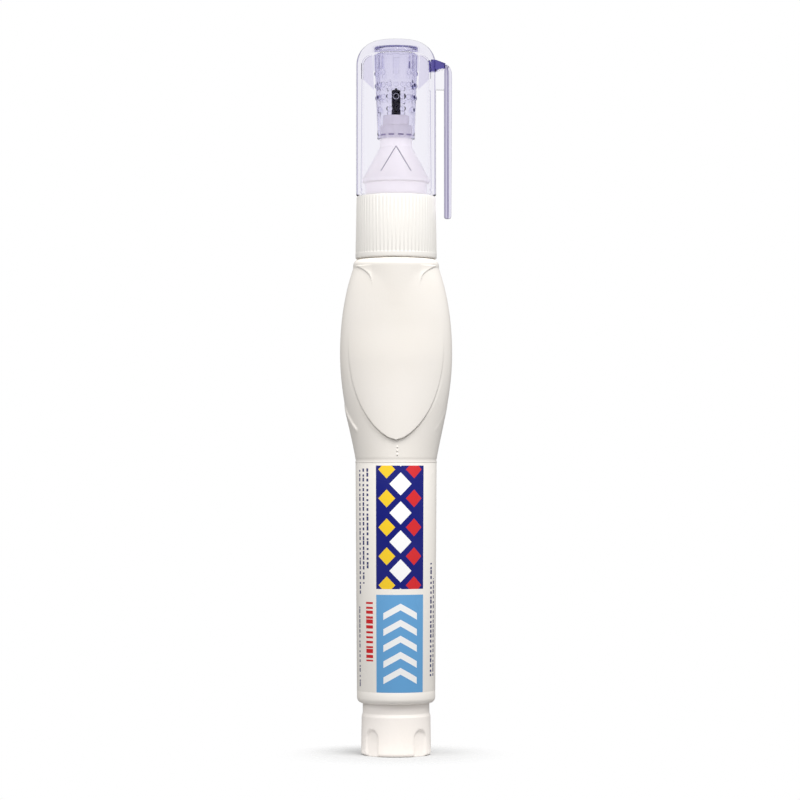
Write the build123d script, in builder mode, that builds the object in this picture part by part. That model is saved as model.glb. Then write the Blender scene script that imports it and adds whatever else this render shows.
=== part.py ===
from build123d import *

import os
from math import pi, sin, sqrt

# A squeeze correction pen: a moulded barrel with an oval grip, a base plug, a wrap label,
# a ribbed nozzle with a metal tip and a sprung needle valve, and a clear cap with a clip.
# Millimetres. +Z runs up the pen's axis from the middle of the base, the front faces -Y
# and the clip is on +X.

# Heights, stacked upwards from the base
PLUG_SKIRT_HEIGHT = 10.1
TAIL_BAND_HEIGHT = 2.4
LABEL_HEIGHT = 44.6
WAIST_BAND_HEIGHT = 0.5
GRIP_RISE_LENGTH = 20.9
GRIP_FALL_LENGTH = 16.8
SHOULDER_HEIGHT = 1.7
NECK_HEIGHT = 8.4
COLLAR_ROOF = 3.8
CAP_SEAT_GAP = 0.2
CAP_HEIGHT = 30.5

# Fits
PRESS_CLEARANCE = 0.02
RUNNING_CLEARANCE = 0.06
SLIDE_OFF_CLEARANCE = 0.1
LOOSE_GAP = 0.1
GLUE_LAYER = 0.1

# Base plug
PLUG_FOOT_RADIUS = 6.85
PLUG_SKIRT_TOP_RADIUS = 6.72
PLUG_WAIST_RADIUS = 6.52
PLUG_WAIST_HEIGHT = 2.4
PLUG_FOOT_ROUND = 0.6
PLUG_FLOOR = 2.2
PLUG_SPIGOT_RADIUS = 5.6
PLUG_SPIGOT_WALL = 1.0
PLUG_SPIGOT_LENGTH = 7.4
FLUTE_COUNT = 4
FLUTE_WIDTH = 3.6
FLUTE_HEIGHT = 5.3
FLUTE_DEPTH = 0.5

# Barrel
BARREL_WALL = 1.0
TAIL_RADIUS = 7.65
TAIL_ROUND = 1.1
WAIST_RADIUS = 7.95
LABEL_THICKNESS = 0.12
LABEL_SEAM = 1.0
GRIP_HALF_WIDTH = 11.0
GRIP_HALF_DEPTH = 8.3
GRIP_TOP_HALF_WIDTH = 8.35
GRIP_TOP_HALF_DEPTH = 8.25
GRIP_RISE_SOFTNESS = 1.15
GRIP_FALL_ROUNDNESS = 0.65
SHOULDER_RADIUS = 8.45
SHOULDER_BAND = 1.5
SHOULDER_ROUND_SHARE = 0.98
SHOULDER_SKIRT = 9.3
SHOULDER_TAPER = 0.2
NECK_RADIUS = 5.6
NECK_WALL = 1.2

# Raised grip pad, a leaf that fades out towards its top
PAD_HALF_WIDTH = 9.25
PAD_POINT_ABOVE_WAIST = 3.8
PAD_TOP_ABOVE_MIDDLE = 8.5
PAD_BEND_WIDTH_SHARE = 0.69
PAD_BEND_HEIGHT_SHARE = 0.33
PAD_POINT_SLOPE = 0.42
PAD_PROUD_LOW = 0.42
PAD_PROUD_HIGH = 0.05
PAD_STATIONS = 7
GRIP_STATIONS = 9

# Nozzle
COLLAR_WALL = 2.35
COLLAR_DRAFT = 0.2
COLLAR_EDGE = 0.3
COLLAR_PLAIN_BAND = 1.0
RIB_COUNT = 64
RIB_GROOVE_WIDTH = 0.4
RIB_GROOVE_DEPTH = 0.12
SEAT_RADIUS = 6.35
SEAT_HEIGHT = 2.75
LIP_RADIUS = 6.6
LIP_HEIGHT = 0.55
CONE_HEIGHT = 6.4
NOSE_RADIUS = 3.15
NOSE_HEIGHT = 4.2
NOSE_TIP_RADIUS = 2.6
NOSE_TIP_HEIGHT = 2.0
CHAMBER_RADIUS = 2.2
SKIRT_LENGTH = 6.4
LINE_GROOVE_WIDTH = 0.14
LINE_GROOVE_DEPTH = 0.14
LINE_GROOVE_DROP = 5.2
LINE_GROOVE_SPREAD = 3.0

# Metal tip, needle valve and its spring
TIP_RADIUS = 0.88
TIP_LENGTH = 5.1
TIP_EDGE = 0.2
TIP_FLANGE_RADIUS = 1.08
TIP_FLANGE_HEIGHT = 0.35
TIP_SHANK_LENGTH = 6.8
TIP_BORE_RADIUS = 0.62
TIP_NOZZLE_LENGTH = 1.1
TIP_SEAT_LENGTH = 0.5
NEEDLE_TIP_RADIUS = 0.28
NEEDLE_RADIUS = 0.48
NEEDLE_STANDOUT = 0.4
NEEDLE_STROKE = 0.4
NEEDLE_END_ROUND_SHARE = 0.7
NEEDLE_HEAD_RADIUS = 1.6
NEEDLE_HEAD_HEIGHT = 0.9
NEEDLE_HEAD_GAP = 1.2
SPRING_WIRE_RADIUS = 0.15
SPRING_RADIUS = 1.15
SPRING_TURNS = 8
RETAINER_HEIGHT = 2.4
RETAINER_PORT_RADIUS = 0.4
RETAINER_PORTS = 4
BALL_RADIUS = 3.0

# Cap, its clip and its inner sleeve
CAP_RADIUS = 7.85
CAP_WALL = 1.1
CAP_DRAFT = 0.25
CROWN_ROUND = 4.8
CROWN_THICKNESS = 1.5
CEILING_ROUND_SHARE = 0.9
SOCKET_DEPTH = 1.2
SNAP_BEAD = 0.07
SNAP_BEAD_HEIGHT = 0.8
CLIP_GAP = 1.45
CLIP_THICKNESS = 1.5
CLIP_TAPER = 0.25
CLIP_WIDTH = 3.6
CLIP_REACH_BELOW_RIM = 4.55
BRIDGE_HEIGHT = 5.8
BRIDGE_DROP_FROM_CROWN = 3.8
BRIDGE_ARCH = 0.65
CLIP_SHOULDER_ROUND = 1.3
CLIP_EDGE_ROUND = 0.45
CLIP_END_ROUND_SHARE = 0.4
CLIP_ROOT_SHARE = 0.8
GUSSET_THICKNESS = 2.0
GUSSET_DROP = 4.9
GUSSET_SLANT = 2.0
SLEEVE_TOP_RADIUS = 4.3
SLEEVE_LOW_RADIUS = 3.62
SLEEVE_LIP_PROUD = 0.1
SLEEVE_LIP_HEIGHT = 1.7
SLEEVE_SEAL_LENGTH = 2.2
SLEEVE_ABOVE_CONE = 1.6
SLEEVE_WALL = 0.55
SLEEVE_DOME_ROUND = 1.6
SLEEVE_RIBS = 8
SLEEVE_RIB_WIDTH = 1.3
SLEEVE_RIB_PROUD = 0.3
SLEEVE_RIB_LENGTH = 3.2
NUB_RADIUS = 0.62
NUB_PROUD = 0.25
NUB_ROW_PITCH = 2.4
NUB_ROWS = 3

# The front of the pen, as an angle about the axis
FRONT_ANGLE = -90

# Levels worked out from the stacked heights
Z_TAIL = PLUG_SKIRT_HEIGHT
Z_LABEL = Z_TAIL + TAIL_BAND_HEIGHT
Z_LABEL_TOP = Z_LABEL + LABEL_HEIGHT
Z_WAIST = Z_LABEL_TOP + WAIST_BAND_HEIGHT
Z_GRIP = Z_WAIST + GRIP_RISE_LENGTH
Z_GRIP_TOP = Z_GRIP + GRIP_FALL_LENGTH
Z_SHOULDER = Z_GRIP_TOP + SHOULDER_HEIGHT
Z_NECK_TOP = Z_SHOULDER + NECK_HEIGHT
Z_SOCKET_TOP = Z_NECK_TOP + LOOSE_GAP
Z_COLLAR_TOP = Z_SOCKET_TOP + COLLAR_ROOF
Z_LIP = Z_COLLAR_TOP + SEAT_HEIGHT
Z_CONE = Z_LIP + LIP_HEIGHT
Z_NOSE = Z_CONE + CONE_HEIGHT
Z_NOSE_STEP = Z_NOSE + NOSE_HEIGHT
Z_NOSE_TOP = Z_NOSE_STEP + NOSE_TIP_HEIGHT
Z_TIP = Z_NOSE_TOP + TIP_LENGTH
Z_TIP_SHANK = Z_NOSE_TOP - TIP_SHANK_LENGTH
Z_TIP_SEAT = Z_TIP - TIP_NOZZLE_LENGTH - TIP_SEAT_LENGTH
Z_NEEDLE_HEAD_TOP = Z_TIP_SHANK - NEEDLE_HEAD_GAP
Z_NEEDLE_HEAD = Z_NEEDLE_HEAD_TOP - NEEDLE_HEAD_HEIGHT
Z_RETAINER_TOP = Z_SOCKET_TOP + LOOSE_GAP
Z_RETAINER = Z_RETAINER_TOP - RETAINER_HEIGHT
Z_CAP = Z_COLLAR_TOP + CAP_SEAT_GAP
Z_CROWN = Z_CAP + CAP_HEIGHT
Z_CEILING = Z_CROWN - CROWN_THICKNESS
Z_ANNULUS = Z_CEILING - SOCKET_DEPTH
Z_SLEEVE = Z_NOSE + SLEEVE_ABOVE_CONE
LABEL_RECESS = LABEL_THICKNESS + GLUE_LAYER
NECK_BORE = NECK_RADIUS - NECK_WALL
COLLAR_RADIUS = NECK_RADIUS + PRESS_CLEARANCE + COLLAR_WALL
CAP_BORE = CAP_RADIUS - CAP_WALL
CAP_BORE_TOP = CAP_BORE - CAP_DRAFT
SLEEVE_SOCKET = SLEEVE_TOP_RADIUS + PRESS_CLEARANCE
SLEEVE_BORE = NOSE_RADIUS + SLIDE_OFF_CLEARANCE
TIP_HOLE_RADIUS = TIP_RADIUS + PRESS_CLEARANCE
TIP_ORIFICE_RADIUS = NEEDLE_TIP_RADIUS + RUNNING_CLEARANCE


def barrel_radius(z):
    """Outer radius of the tapered label stretch at height z."""
    share = (z - Z_TAIL) / (Z_WAIST - Z_TAIL)
    return TAIL_RADIUS + (WAIST_RADIUS - TAIL_RADIUS) * share


def grip_section(z, grow=0.0):
    """Half width and half depth of the oval grip at height z, grown by a margin."""
    if z <= Z_GRIP:
        rise = (z - Z_WAIST) / GRIP_RISE_LENGTH
        width_share = sin(rise * pi / 2) ** GRIP_RISE_SOFTNESS
        width = WAIST_RADIUS + (GRIP_HALF_WIDTH - WAIST_RADIUS) * width_share
        depth = WAIST_RADIUS + (GRIP_HALF_DEPTH - WAIST_RADIUS) * rise**2
    else:
        fall = (z - Z_GRIP) / GRIP_FALL_LENGTH
        lowest = sqrt(1 - GRIP_FALL_ROUNDNESS**2)
        width_share = (sqrt(1 - (GRIP_FALL_ROUNDNESS * fall) ** 2) - lowest) / (1 - lowest)
        width = GRIP_TOP_HALF_WIDTH + (GRIP_HALF_WIDTH - GRIP_TOP_HALF_WIDTH) * width_share
        depth = GRIP_HALF_DEPTH + (GRIP_TOP_HALF_DEPTH - GRIP_HALF_DEPTH) * fall**2
    return width + grow, depth + grow


def cone_radius(z):
    """Outer radius of the nozzle's cone at height z."""
    return LIP_RADIUS + (NOSE_RADIUS - LIP_RADIUS) * (z - Z_CONE) / CONE_HEIGHT


def sleeve_radius(z):
    """Outer radius of the tapered inner sleeve at height z."""
    share = (z - Z_SLEEVE) / (Z_CEILING - Z_SLEEVE)
    return SLEEVE_LOW_RADIUS + (SLEEVE_TOP_RADIUS - SLEEVE_LOW_RADIUS) * share


os.makedirs("parts", exist_ok=True)

# Base plug: a hollow spigot in the barrel's tail and a fluted skirt below it
with BuildPart() as plug_flute:
    flute_plane = Plane(
        origin=(PLUG_FOOT_RADIUS - FLUTE_DEPTH, 0, 0), x_dir=(0, 1, 0), z_dir=(1, 0, 0)
    )
    with BuildSketch(flute_plane):
        with Locations((0, FLUTE_HEIGHT - FLUTE_WIDTH / 2)):
            Circle(FLUTE_WIDTH / 2)
            Rectangle(FLUTE_WIDTH, FLUTE_HEIGHT, align=(Align.CENTER, Align.MAX))
    extrude(amount=PLUG_FOOT_RADIUS)

with BuildPart() as base_plug:
    skirt_top = PLUG_SKIRT_HEIGHT - PLUG_WAIST_HEIGHT
    spigot_top = Z_TAIL + PLUG_SPIGOT_LENGTH
    spigot_radius = PLUG_SPIGOT_RADIUS - PRESS_CLEARANCE
    spigot_lead = PLUG_SPIGOT_WALL / 3
    with BuildSketch(Plane.XZ) as plug_outline:
        with BuildLine():
            Polyline(
                (0, 0),
                (PLUG_FOOT_RADIUS, 0),
                (PLUG_SKIRT_TOP_RADIUS, skirt_top),
                (PLUG_WAIST_RADIUS, skirt_top + PLUG_SKIRT_TOP_RADIUS - PLUG_WAIST_RADIUS),
                (PLUG_WAIST_RADIUS, Z_TAIL),
                (spigot_radius, Z_TAIL),
                (spigot_radius, spigot_top - spigot_lead),
                (spigot_radius - spigot_lead, spigot_top),
                (spigot_radius - PLUG_SPIGOT_WALL, spigot_top),
                (spigot_radius - PLUG_SPIGOT_WALL, PLUG_FLOOR),
                (0, PLUG_FLOOR),
                close=True,
            )
        make_face()
        foot_corner = plug_outline.vertices().sort_by(Axis.X)[-1]
        fillet(foot_corner, PLUG_FOOT_ROUND)
    revolve(axis=Axis.Z)
    with PolarLocations(0, FLUTE_COUNT, start_angle=180 / FLUTE_COUNT):
        add(plug_flute.part, mode=Mode.SUBTRACT)
base_plug.part.label = "base_plug"
export_step(base_plug.part, "parts/base_plug.step")

# Raised grip pads: the oval grip, grown a little, kept only inside a leaf outline
pad_point_z = Z_WAIST + PAD_POINT_ABOVE_WAIST
pad_top_z = Z_GRIP + PAD_TOP_ABOVE_MIDDLE
with BuildPart() as grip_pads:
    for station in range(PAD_STATIONS):
        share = station / (PAD_STATIONS - 1)
        pad_z = Z_WAIST + WAIST_BAND_HEIGHT + share * (pad_top_z - Z_WAIST)
        proud = PAD_PROUD_LOW + (PAD_PROUD_HIGH - PAD_PROUD_LOW) * share
        with BuildSketch(Plane.XY.offset(pad_z)):
            Ellipse(*grip_section(pad_z, proud))
    loft()
    with BuildSketch(Plane.XZ):
        with BuildLine():
            Spline(
                (0, pad_point_z),
                (
                    PAD_HALF_WIDTH * PAD_BEND_WIDTH_SHARE,
                    pad_point_z + (Z_GRIP - pad_point_z) * PAD_BEND_HEIGHT_SHARE,
                ),
                (PAD_HALF_WIDTH, Z_GRIP),
                tangents=((1, PAD_POINT_SLOPE), (0, 1)),
            )
            Spline((PAD_HALF_WIDTH, Z_GRIP), (0, pad_top_z), tangents=((0, 1), (-1, 0)))
            Line((0, pad_top_z), (0, pad_point_z))
        make_face()
        mirror(about=Plane.YZ)
    extrude(amount=2 * GRIP_HALF_DEPTH, both=True, mode=Mode.INTERSECT)

# Space inside the barrel, from the plug's bore to the neck's
grip_levels = [
    Z_WAIST + (Z_GRIP_TOP - Z_WAIST) * station / (GRIP_STATIONS - 1)
    for station in range(GRIP_STATIONS)
]
spigot_bore_top = Z_TAIL + PLUG_SPIGOT_LENGTH + LOOSE_GAP
bore_low = barrel_radius(spigot_bore_top) - LABEL_RECESS - BARREL_WALL
bore_high = WAIST_RADIUS - LABEL_RECESS - BARREL_WALL
with BuildPart() as barrel_space:
    with BuildSketch(Plane.XZ):
        with BuildLine():
            Polyline(
                (0, Z_TAIL),
                (PLUG_SPIGOT_RADIUS, Z_TAIL),
                (PLUG_SPIGOT_RADIUS, spigot_bore_top),
                (bore_low, spigot_bore_top + bore_low - PLUG_SPIGOT_RADIUS),
                (bore_high, Z_WAIST),
                (0, Z_WAIST),
                close=True,
            )
        make_face()
    revolve(axis=Axis.Z)
    with BuildSketch(Plane.XY.offset(Z_WAIST)):
        Circle(bore_high)
    for z in grip_levels[1:-1]:
        with BuildSketch(Plane.XY.offset(z)):
            Ellipse(*grip_section(z, -BARREL_WALL))
    with BuildSketch(Plane.XY.offset(Z_GRIP_TOP)):
        Circle(NECK_BORE)
    loft()
    with BuildSketch(Plane.XY.offset(Z_GRIP_TOP)):
        Circle(NECK_BORE)
    extrude(amount=Z_NECK_TOP - Z_GRIP_TOP)

# Barrel: tapered label stretch, oval squeeze grip, shoulder and neck
with BuildPart() as barrel:
    with BuildSketch(Plane.XZ) as tail_outline:
        with BuildLine():
            Polyline(
                (0, Z_TAIL),
                (TAIL_RADIUS, Z_TAIL),
                (barrel_radius(Z_LABEL), Z_LABEL),
                (barrel_radius(Z_LABEL) - LABEL_RECESS, Z_LABEL),
                (barrel_radius(Z_LABEL_TOP) - LABEL_RECESS, Z_LABEL_TOP),
                (barrel_radius(Z_LABEL_TOP), Z_LABEL_TOP),
                (WAIST_RADIUS, Z_WAIST),
                (0, Z_WAIST),
                close=True,
            )
        make_face()
        tail_corner = tail_outline.vertices().sort_by_distance((TAIL_RADIUS, Z_TAIL))[0]
        fillet(tail_corner, TAIL_ROUND)
    revolve(axis=Axis.Z)
    for z in grip_levels:
        with BuildSketch(Plane.XY.offset(z)):
            Ellipse(*grip_section(z))
    loft()
    with BuildSketch(Plane.XZ) as shoulder_outline:
        with BuildLine():
            Polyline(
                (0, Z_SHOULDER - SHOULDER_SKIRT),
                (SHOULDER_RADIUS - SHOULDER_TAPER, Z_SHOULDER - SHOULDER_SKIRT),
                (SHOULDER_RADIUS, Z_SHOULDER - SHOULDER_BAND),
                (SHOULDER_RADIUS, Z_SHOULDER),
                (NECK_RADIUS, Z_SHOULDER),
                (NECK_RADIUS, Z_NECK_TOP),
                (0, Z_NECK_TOP),
                close=True,
            )
        make_face()
        shoulder_corner = shoulder_outline.vertices().sort_by_distance((SHOULDER_RADIUS, Z_SHOULDER))[0]
        fillet(shoulder_corner, SHOULDER_BAND * SHOULDER_ROUND_SHARE)
    revolve(axis=Axis.Z)
    add(grip_pads.part)
    add(barrel_space.part, mode=Mode.SUBTRACT)
barrel.part.label = "barrel"
export_step(barrel.part, "parts/barrel.step")

# Label: a thin tapered wrap in the barrel's recess, with its seam at the back
with BuildPart() as label:
    label_low = barrel_radius(Z_LABEL)
    label_high = barrel_radius(Z_LABEL_TOP)
    with BuildSketch(Plane.XZ):
        with BuildLine():
            Polyline(
                (label_low - LABEL_THICKNESS, Z_LABEL + PRESS_CLEARANCE),
                (label_low, Z_LABEL + PRESS_CLEARANCE),
                (label_high, Z_LABEL_TOP - PRESS_CLEARANCE),
                (label_high - LABEL_THICKNESS, Z_LABEL_TOP - PRESS_CLEARANCE),
                close=True,
            )
        make_face()
    revolve(axis=Axis.Z)
    with Locations((0, WAIST_RADIUS, (Z_LABEL + Z_LABEL_TOP) / 2)):
        Box(LABEL_SEAM, WAIST_RADIUS, 2 * LABEL_HEIGHT, mode=Mode.SUBTRACT)
label.part.label = "label"
export_step(label.part, "parts/label.step")

# Nozzle: ribbed collar over the neck, snap seat for the cap, cone and nose
with BuildPart() as rib_groove:
    with BuildSketch(Plane.XY.offset(Z_SHOULDER + COLLAR_PLAIN_BAND)):
        with Locations((COLLAR_RADIUS, 0)):
            Rectangle(2 * RIB_GROOVE_DEPTH, RIB_GROOVE_WIDTH)
    with BuildSketch(Plane.XY.offset(Z_COLLAR_TOP)):
        with Locations((COLLAR_RADIUS - COLLAR_DRAFT, 0)):
            Rectangle(2 * RIB_GROOVE_DEPTH, RIB_GROOVE_WIDTH)
    loft()

with BuildPart() as cone_lines:
    line_low = Z_NOSE - LINE_GROOVE_DROP
    with BuildSketch(Plane.XZ):
        with BuildLine():
            Line((0, Z_NOSE), (-LINE_GROOVE_SPREAD, line_low))
        trace(line_width=LINE_GROOVE_WIDTH)
        with BuildLine():
            Line((0, Z_NOSE), (LINE_GROOVE_SPREAD, line_low))
        trace(line_width=LINE_GROOVE_WIDTH)
    extrude(amount=LIP_RADIUS, both=True)
    with BuildSketch(Plane.XZ):
        with BuildLine():
            Polyline(
                (0, Z_CONE),
                (cone_radius(Z_CONE) - LINE_GROOVE_DEPTH, Z_CONE),
                (cone_radius(Z_NOSE) - LINE_GROOVE_DEPTH, Z_NOSE),
                (cone_radius(Z_NOSE) - LINE_GROOVE_DEPTH, Z_NOSE_STEP),
                (0, Z_NOSE_STEP),
                close=True,
            )
        make_face()
    revolve(axis=Axis.Z, mode=Mode.SUBTRACT)

with BuildPart() as nozzle:
    skirt_radius = NECK_BORE - PRESS_CLEARANCE
    skirt_low = Z_SOCKET_TOP - SKIRT_LENGTH
    skirt_lead = (skirt_radius - CHAMBER_RADIUS) / 4
    socket_radius = NECK_RADIUS + PRESS_CLEARANCE
    with BuildSketch(Plane.XZ):
        with BuildLine():
            Polyline(
                (CHAMBER_RADIUS, skirt_low),
                (skirt_radius - skirt_lead, skirt_low),
                (skirt_radius, skirt_low + skirt_lead),
                (skirt_radius, Z_SOCKET_TOP),
                (socket_radius, Z_SOCKET_TOP),
                (socket_radius, Z_SHOULDER),
                (COLLAR_RADIUS - COLLAR_EDGE, Z_SHOULDER),
                (COLLAR_RADIUS, Z_SHOULDER + COLLAR_EDGE),
                (COLLAR_RADIUS - COLLAR_DRAFT, Z_COLLAR_TOP - COLLAR_EDGE),
                (COLLAR_RADIUS - COLLAR_DRAFT - COLLAR_EDGE, Z_COLLAR_TOP),
                (SEAT_RADIUS, Z_COLLAR_TOP),
                (SEAT_RADIUS, Z_LIP - (LIP_RADIUS - SEAT_RADIUS)),
                (LIP_RADIUS, Z_LIP),
                (LIP_RADIUS, Z_CONE),
                (NOSE_RADIUS, Z_NOSE),
                (NOSE_RADIUS, Z_NOSE_STEP),
                (NOSE_TIP_RADIUS, Z_NOSE_STEP),
                (NOSE_TIP_RADIUS, Z_NOSE_TOP),
                (TIP_HOLE_RADIUS, Z_NOSE_TOP),
                (TIP_HOLE_RADIUS, Z_TIP_SHANK),
                (CHAMBER_RADIUS, Z_TIP_SHANK),
                close=True,
            )
        make_face()
    revolve(axis=Axis.Z)
    with PolarLocations(0, RIB_COUNT):
        add(rib_groove.part, mode=Mode.SUBTRACT)
    add(cone_lines.part, mode=Mode.SUBTRACT)
nozzle.part.label = "nozzle"
export_step(nozzle.part, "parts/nozzle.step")

# Metal tip: a drawn tube with a small flange, pressed into the nose
with BuildPart() as tip_tube:
    with BuildSketch(Plane.XZ):
        with BuildLine():
            Polyline(
                (TIP_BORE_RADIUS, Z_TIP_SHANK),
                (TIP_RADIUS, Z_TIP_SHANK),
                (TIP_RADIUS, Z_NOSE_TOP),
                (TIP_FLANGE_RADIUS, Z_NOSE_TOP),
                (TIP_FLANGE_RADIUS, Z_NOSE_TOP + TIP_FLANGE_HEIGHT / 2),
                (TIP_RADIUS, Z_NOSE_TOP + TIP_FLANGE_HEIGHT),
                (TIP_RADIUS, Z_TIP - TIP_EDGE),
                (TIP_RADIUS - TIP_EDGE, Z_TIP),
                (TIP_ORIFICE_RADIUS, Z_TIP),
                (TIP_ORIFICE_RADIUS, Z_TIP_SEAT + TIP_SEAT_LENGTH),
                (TIP_BORE_RADIUS, Z_TIP_SEAT),
                close=True,
            )
        make_face()
    revolve(axis=Axis.Z)
tip_tube.part.label = "tip_tube"
export_step(tip_tube.part, "parts/tip_tube.step")

# Valve needle: a stepped pin whose shoulder closes the tip from inside
with BuildPart() as valve_needle:
    needle_tail = Z_RETAINER + NEEDLE_STROKE + LOOSE_GAP
    needle_seat = Z_TIP_SEAT - LOOSE_GAP
    with BuildSketch(Plane.XZ) as needle_outline:
        with BuildLine():
            Polyline(
                (0, needle_tail),
                (NEEDLE_RADIUS, needle_tail),
                (NEEDLE_RADIUS, Z_NEEDLE_HEAD),
                (NEEDLE_HEAD_RADIUS, Z_NEEDLE_HEAD),
                (NEEDLE_HEAD_RADIUS, Z_NEEDLE_HEAD_TOP),
                (NEEDLE_RADIUS, Z_NEEDLE_HEAD_TOP),
                (NEEDLE_RADIUS, needle_seat),
                (NEEDLE_TIP_RADIUS, needle_seat + TIP_SEAT_LENGTH),
                (NEEDLE_TIP_RADIUS, Z_TIP + NEEDLE_STANDOUT),
                (0, Z_TIP + NEEDLE_STANDOUT),
                close=True,
            )
        make_face()
        needle_end = needle_outline.vertices().group_by(Axis.Y)[-1].sort_by(Axis.X)[-1]
        fillet(needle_end, NEEDLE_TIP_RADIUS * NEEDLE_END_ROUND_SHARE)
    revolve(axis=Axis.Z)
valve_needle.part.label = "valve_needle"
export_step(valve_needle.part, "parts/valve_needle.step")

# Valve spring: one helix between the retainer and the needle's head
with BuildPart() as valve_spring:
    coil_low = Z_RETAINER_TOP + SPRING_WIRE_RADIUS
    coil_height = Z_NEEDLE_HEAD - SPRING_WIRE_RADIUS - coil_low
    with BuildLine() as coil:
        Helix(
            pitch=coil_height / SPRING_TURNS,
            height=coil_height,
            radius=SPRING_RADIUS,
            center=(0, 0, coil_low),
        )
    with BuildSketch(Plane(origin=coil.line @ 0, z_dir=coil.line % 0)):
        Circle(SPRING_WIRE_RADIUS)
    sweep(is_frenet=True)
valve_spring.part.label = "valve_spring"
export_step(valve_spring.part, "parts/valve_spring.step")

# Spring retainer: a perforated plug in the valve chamber that guides the needle's tail
with BuildPart() as spring_retainer:
    guide_radius = NEEDLE_RADIUS + RUNNING_CLEARANCE
    port_circle = (CHAMBER_RADIUS + guide_radius) / 2
    with BuildSketch(Plane.XY.offset(Z_RETAINER)):
        Circle(CHAMBER_RADIUS - PRESS_CLEARANCE)
        Circle(guide_radius, mode=Mode.SUBTRACT)
        with PolarLocations(port_circle, RETAINER_PORTS):
            Circle(RETAINER_PORT_RADIUS, mode=Mode.SUBTRACT)
    extrude(amount=RETAINER_HEIGHT)
spring_retainer.part.label = "spring_retainer"
export_step(spring_retainer.part, "parts/spring_retainer.step")

# Mixing ball: loose in the barrel, at rest on the plug's floor
with BuildPart() as mixing_ball:
    with Locations((0, 0, PLUG_FLOOR + BALL_RADIUS + LOOSE_GAP)):
        Sphere(BALL_RADIUS)
mixing_ball.part.label = "mixing_ball"
export_step(mixing_ball.part, "parts/mixing_ball.step")

# Pocket clip: a tapered bar on an arched bridge, part of the cap's moulding
with BuildPart() as clip_bar:
    clip_inner = CAP_RADIUS + CLIP_GAP
    clip_outer = clip_inner + CLIP_THICKNESS
    clip_end = Z_CAP - CLIP_REACH_BELOW_RIM
    bridge_top = Z_CROWN - BRIDGE_DROP_FROM_CROWN
    bridge_low = bridge_top - BRIDGE_HEIGHT
    bridge_root = CAP_RADIUS - CAP_WALL * CLIP_ROOT_SHARE
    with BuildSketch(Plane.XZ) as clip_outline:
        with BuildLine():
            Polyline(
                (bridge_root, bridge_low),
                (clip_inner, bridge_low),
                (clip_inner, clip_end),
                (clip_outer - CLIP_TAPER, clip_end),
                (clip_outer, bridge_low),
                (clip_outer, bridge_top - CLIP_GAP / 2),
                (bridge_root, bridge_top),
                close=True,
            )
        make_face()
        top_corner = clip_outline.vertices().sort_by_distance((clip_outer, bridge_top))[0]
        fillet(top_corner, CLIP_SHOULDER_ROUND)
        arch_corner = clip_outline.vertices().sort_by_distance((clip_inner, bridge_low))[0]
        fillet(arch_corner, BRIDGE_ARCH)
        end_corners = clip_outline.vertices().group_by(Axis.Y)[0]
        fillet(end_corners, (CLIP_THICKNESS - CLIP_TAPER) * CLIP_END_ROUND_SHARE)
    extrude(amount=CLIP_WIDTH / 2, both=True)
    fillet(clip_bar.faces().filter_by(Axis.Y).edges(), CLIP_EDGE_ROUND)

# Gussets: two webs from the cap's wall and ceiling in towards the sleeve, which they steady
with BuildPart() as gussets:
    gusset_wall_z = Z_ANNULUS - GUSSET_DROP
    gusset_sleeve_z = gusset_wall_z - GUSSET_SLANT
    gusset_root = CAP_RADIUS - CAP_WALL / 2
    nub_gap = NUB_PROUD + LOOSE_GAP
    with BuildSketch(Plane.XZ):
        with BuildLine():
            Polyline(
                (sleeve_radius(gusset_sleeve_z) + nub_gap, gusset_sleeve_z),
                (gusset_root, gusset_wall_z),
                (gusset_root, Z_ANNULUS - CAP_WALL),
                (CAP_BORE_TOP, Z_ANNULUS),
                (SLEEVE_SOCKET + nub_gap, Z_ANNULUS + SOCKET_DEPTH / 2),
                close=True,
            )
        make_face()
    extrude(amount=GUSSET_THICKNESS / 2, both=True)
    mirror(about=Plane.YZ)

# Cap shell: clear cup with a domed crown, a snap bead, a socket for the sleeve and the clip
with BuildPart() as cap_shell:
    bead_middle = (Z_COLLAR_TOP + Z_LIP) / 2
    with BuildSketch(Plane.XZ) as cap_outline:
        with BuildLine():
            Polyline(
                (CAP_BORE, Z_CAP),
                (CAP_RADIUS, Z_CAP),
                (CAP_RADIUS, Z_CROWN),
                (0, Z_CROWN),
                (0, Z_CEILING),
                (SLEEVE_SOCKET, Z_CEILING),
                (SLEEVE_SOCKET, Z_ANNULUS),
                (CAP_BORE_TOP, Z_ANNULUS),
                (CAP_BORE, bead_middle + SNAP_BEAD_HEIGHT),
                (CAP_BORE, bead_middle + SNAP_BEAD_HEIGHT / 2),
                (CAP_BORE - SNAP_BEAD, bead_middle),
                (CAP_BORE, bead_middle - SNAP_BEAD_HEIGHT / 2),
                close=True,
            )
        make_face()
        crown_corner = cap_outline.vertices().sort_by_distance((CAP_RADIUS, Z_CROWN))[0]
        fillet(crown_corner, CROWN_ROUND)
        ceiling_corner = cap_outline.vertices().sort_by_distance((CAP_BORE_TOP, Z_ANNULUS))[0]
        fillet(ceiling_corner, (CAP_BORE_TOP - SLEEVE_SOCKET) * CEILING_ROUND_SHARE)
    revolve(axis=Axis.Z)
    add(clip_bar.part)
    add(gussets.part)
cap_shell.part.label = "cap_shell"
export_step(cap_shell.part, "parts/cap_shell.step")

# Cap sleeve: a tapered thimble with a sealing lip, ribs under the crown and rows of nubs
rib_low = Z_ANNULUS - SLEEVE_RIB_LENGTH
with BuildPart() as sleeve_rib:
    with BuildSketch(Plane.XY.offset(Z_ANNULUS)):
        with Locations((sleeve_radius(rib_low) + SLEEVE_RIB_PROUD, 0)):
            Rectangle(
                SLEEVE_RIB_PROUD + SLEEVE_WALL / 2,
                SLEEVE_RIB_WIDTH,
                align=(Align.MAX, Align.CENTER),
            )
    extrude(amount=-SLEEVE_RIB_LENGTH)

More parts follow.
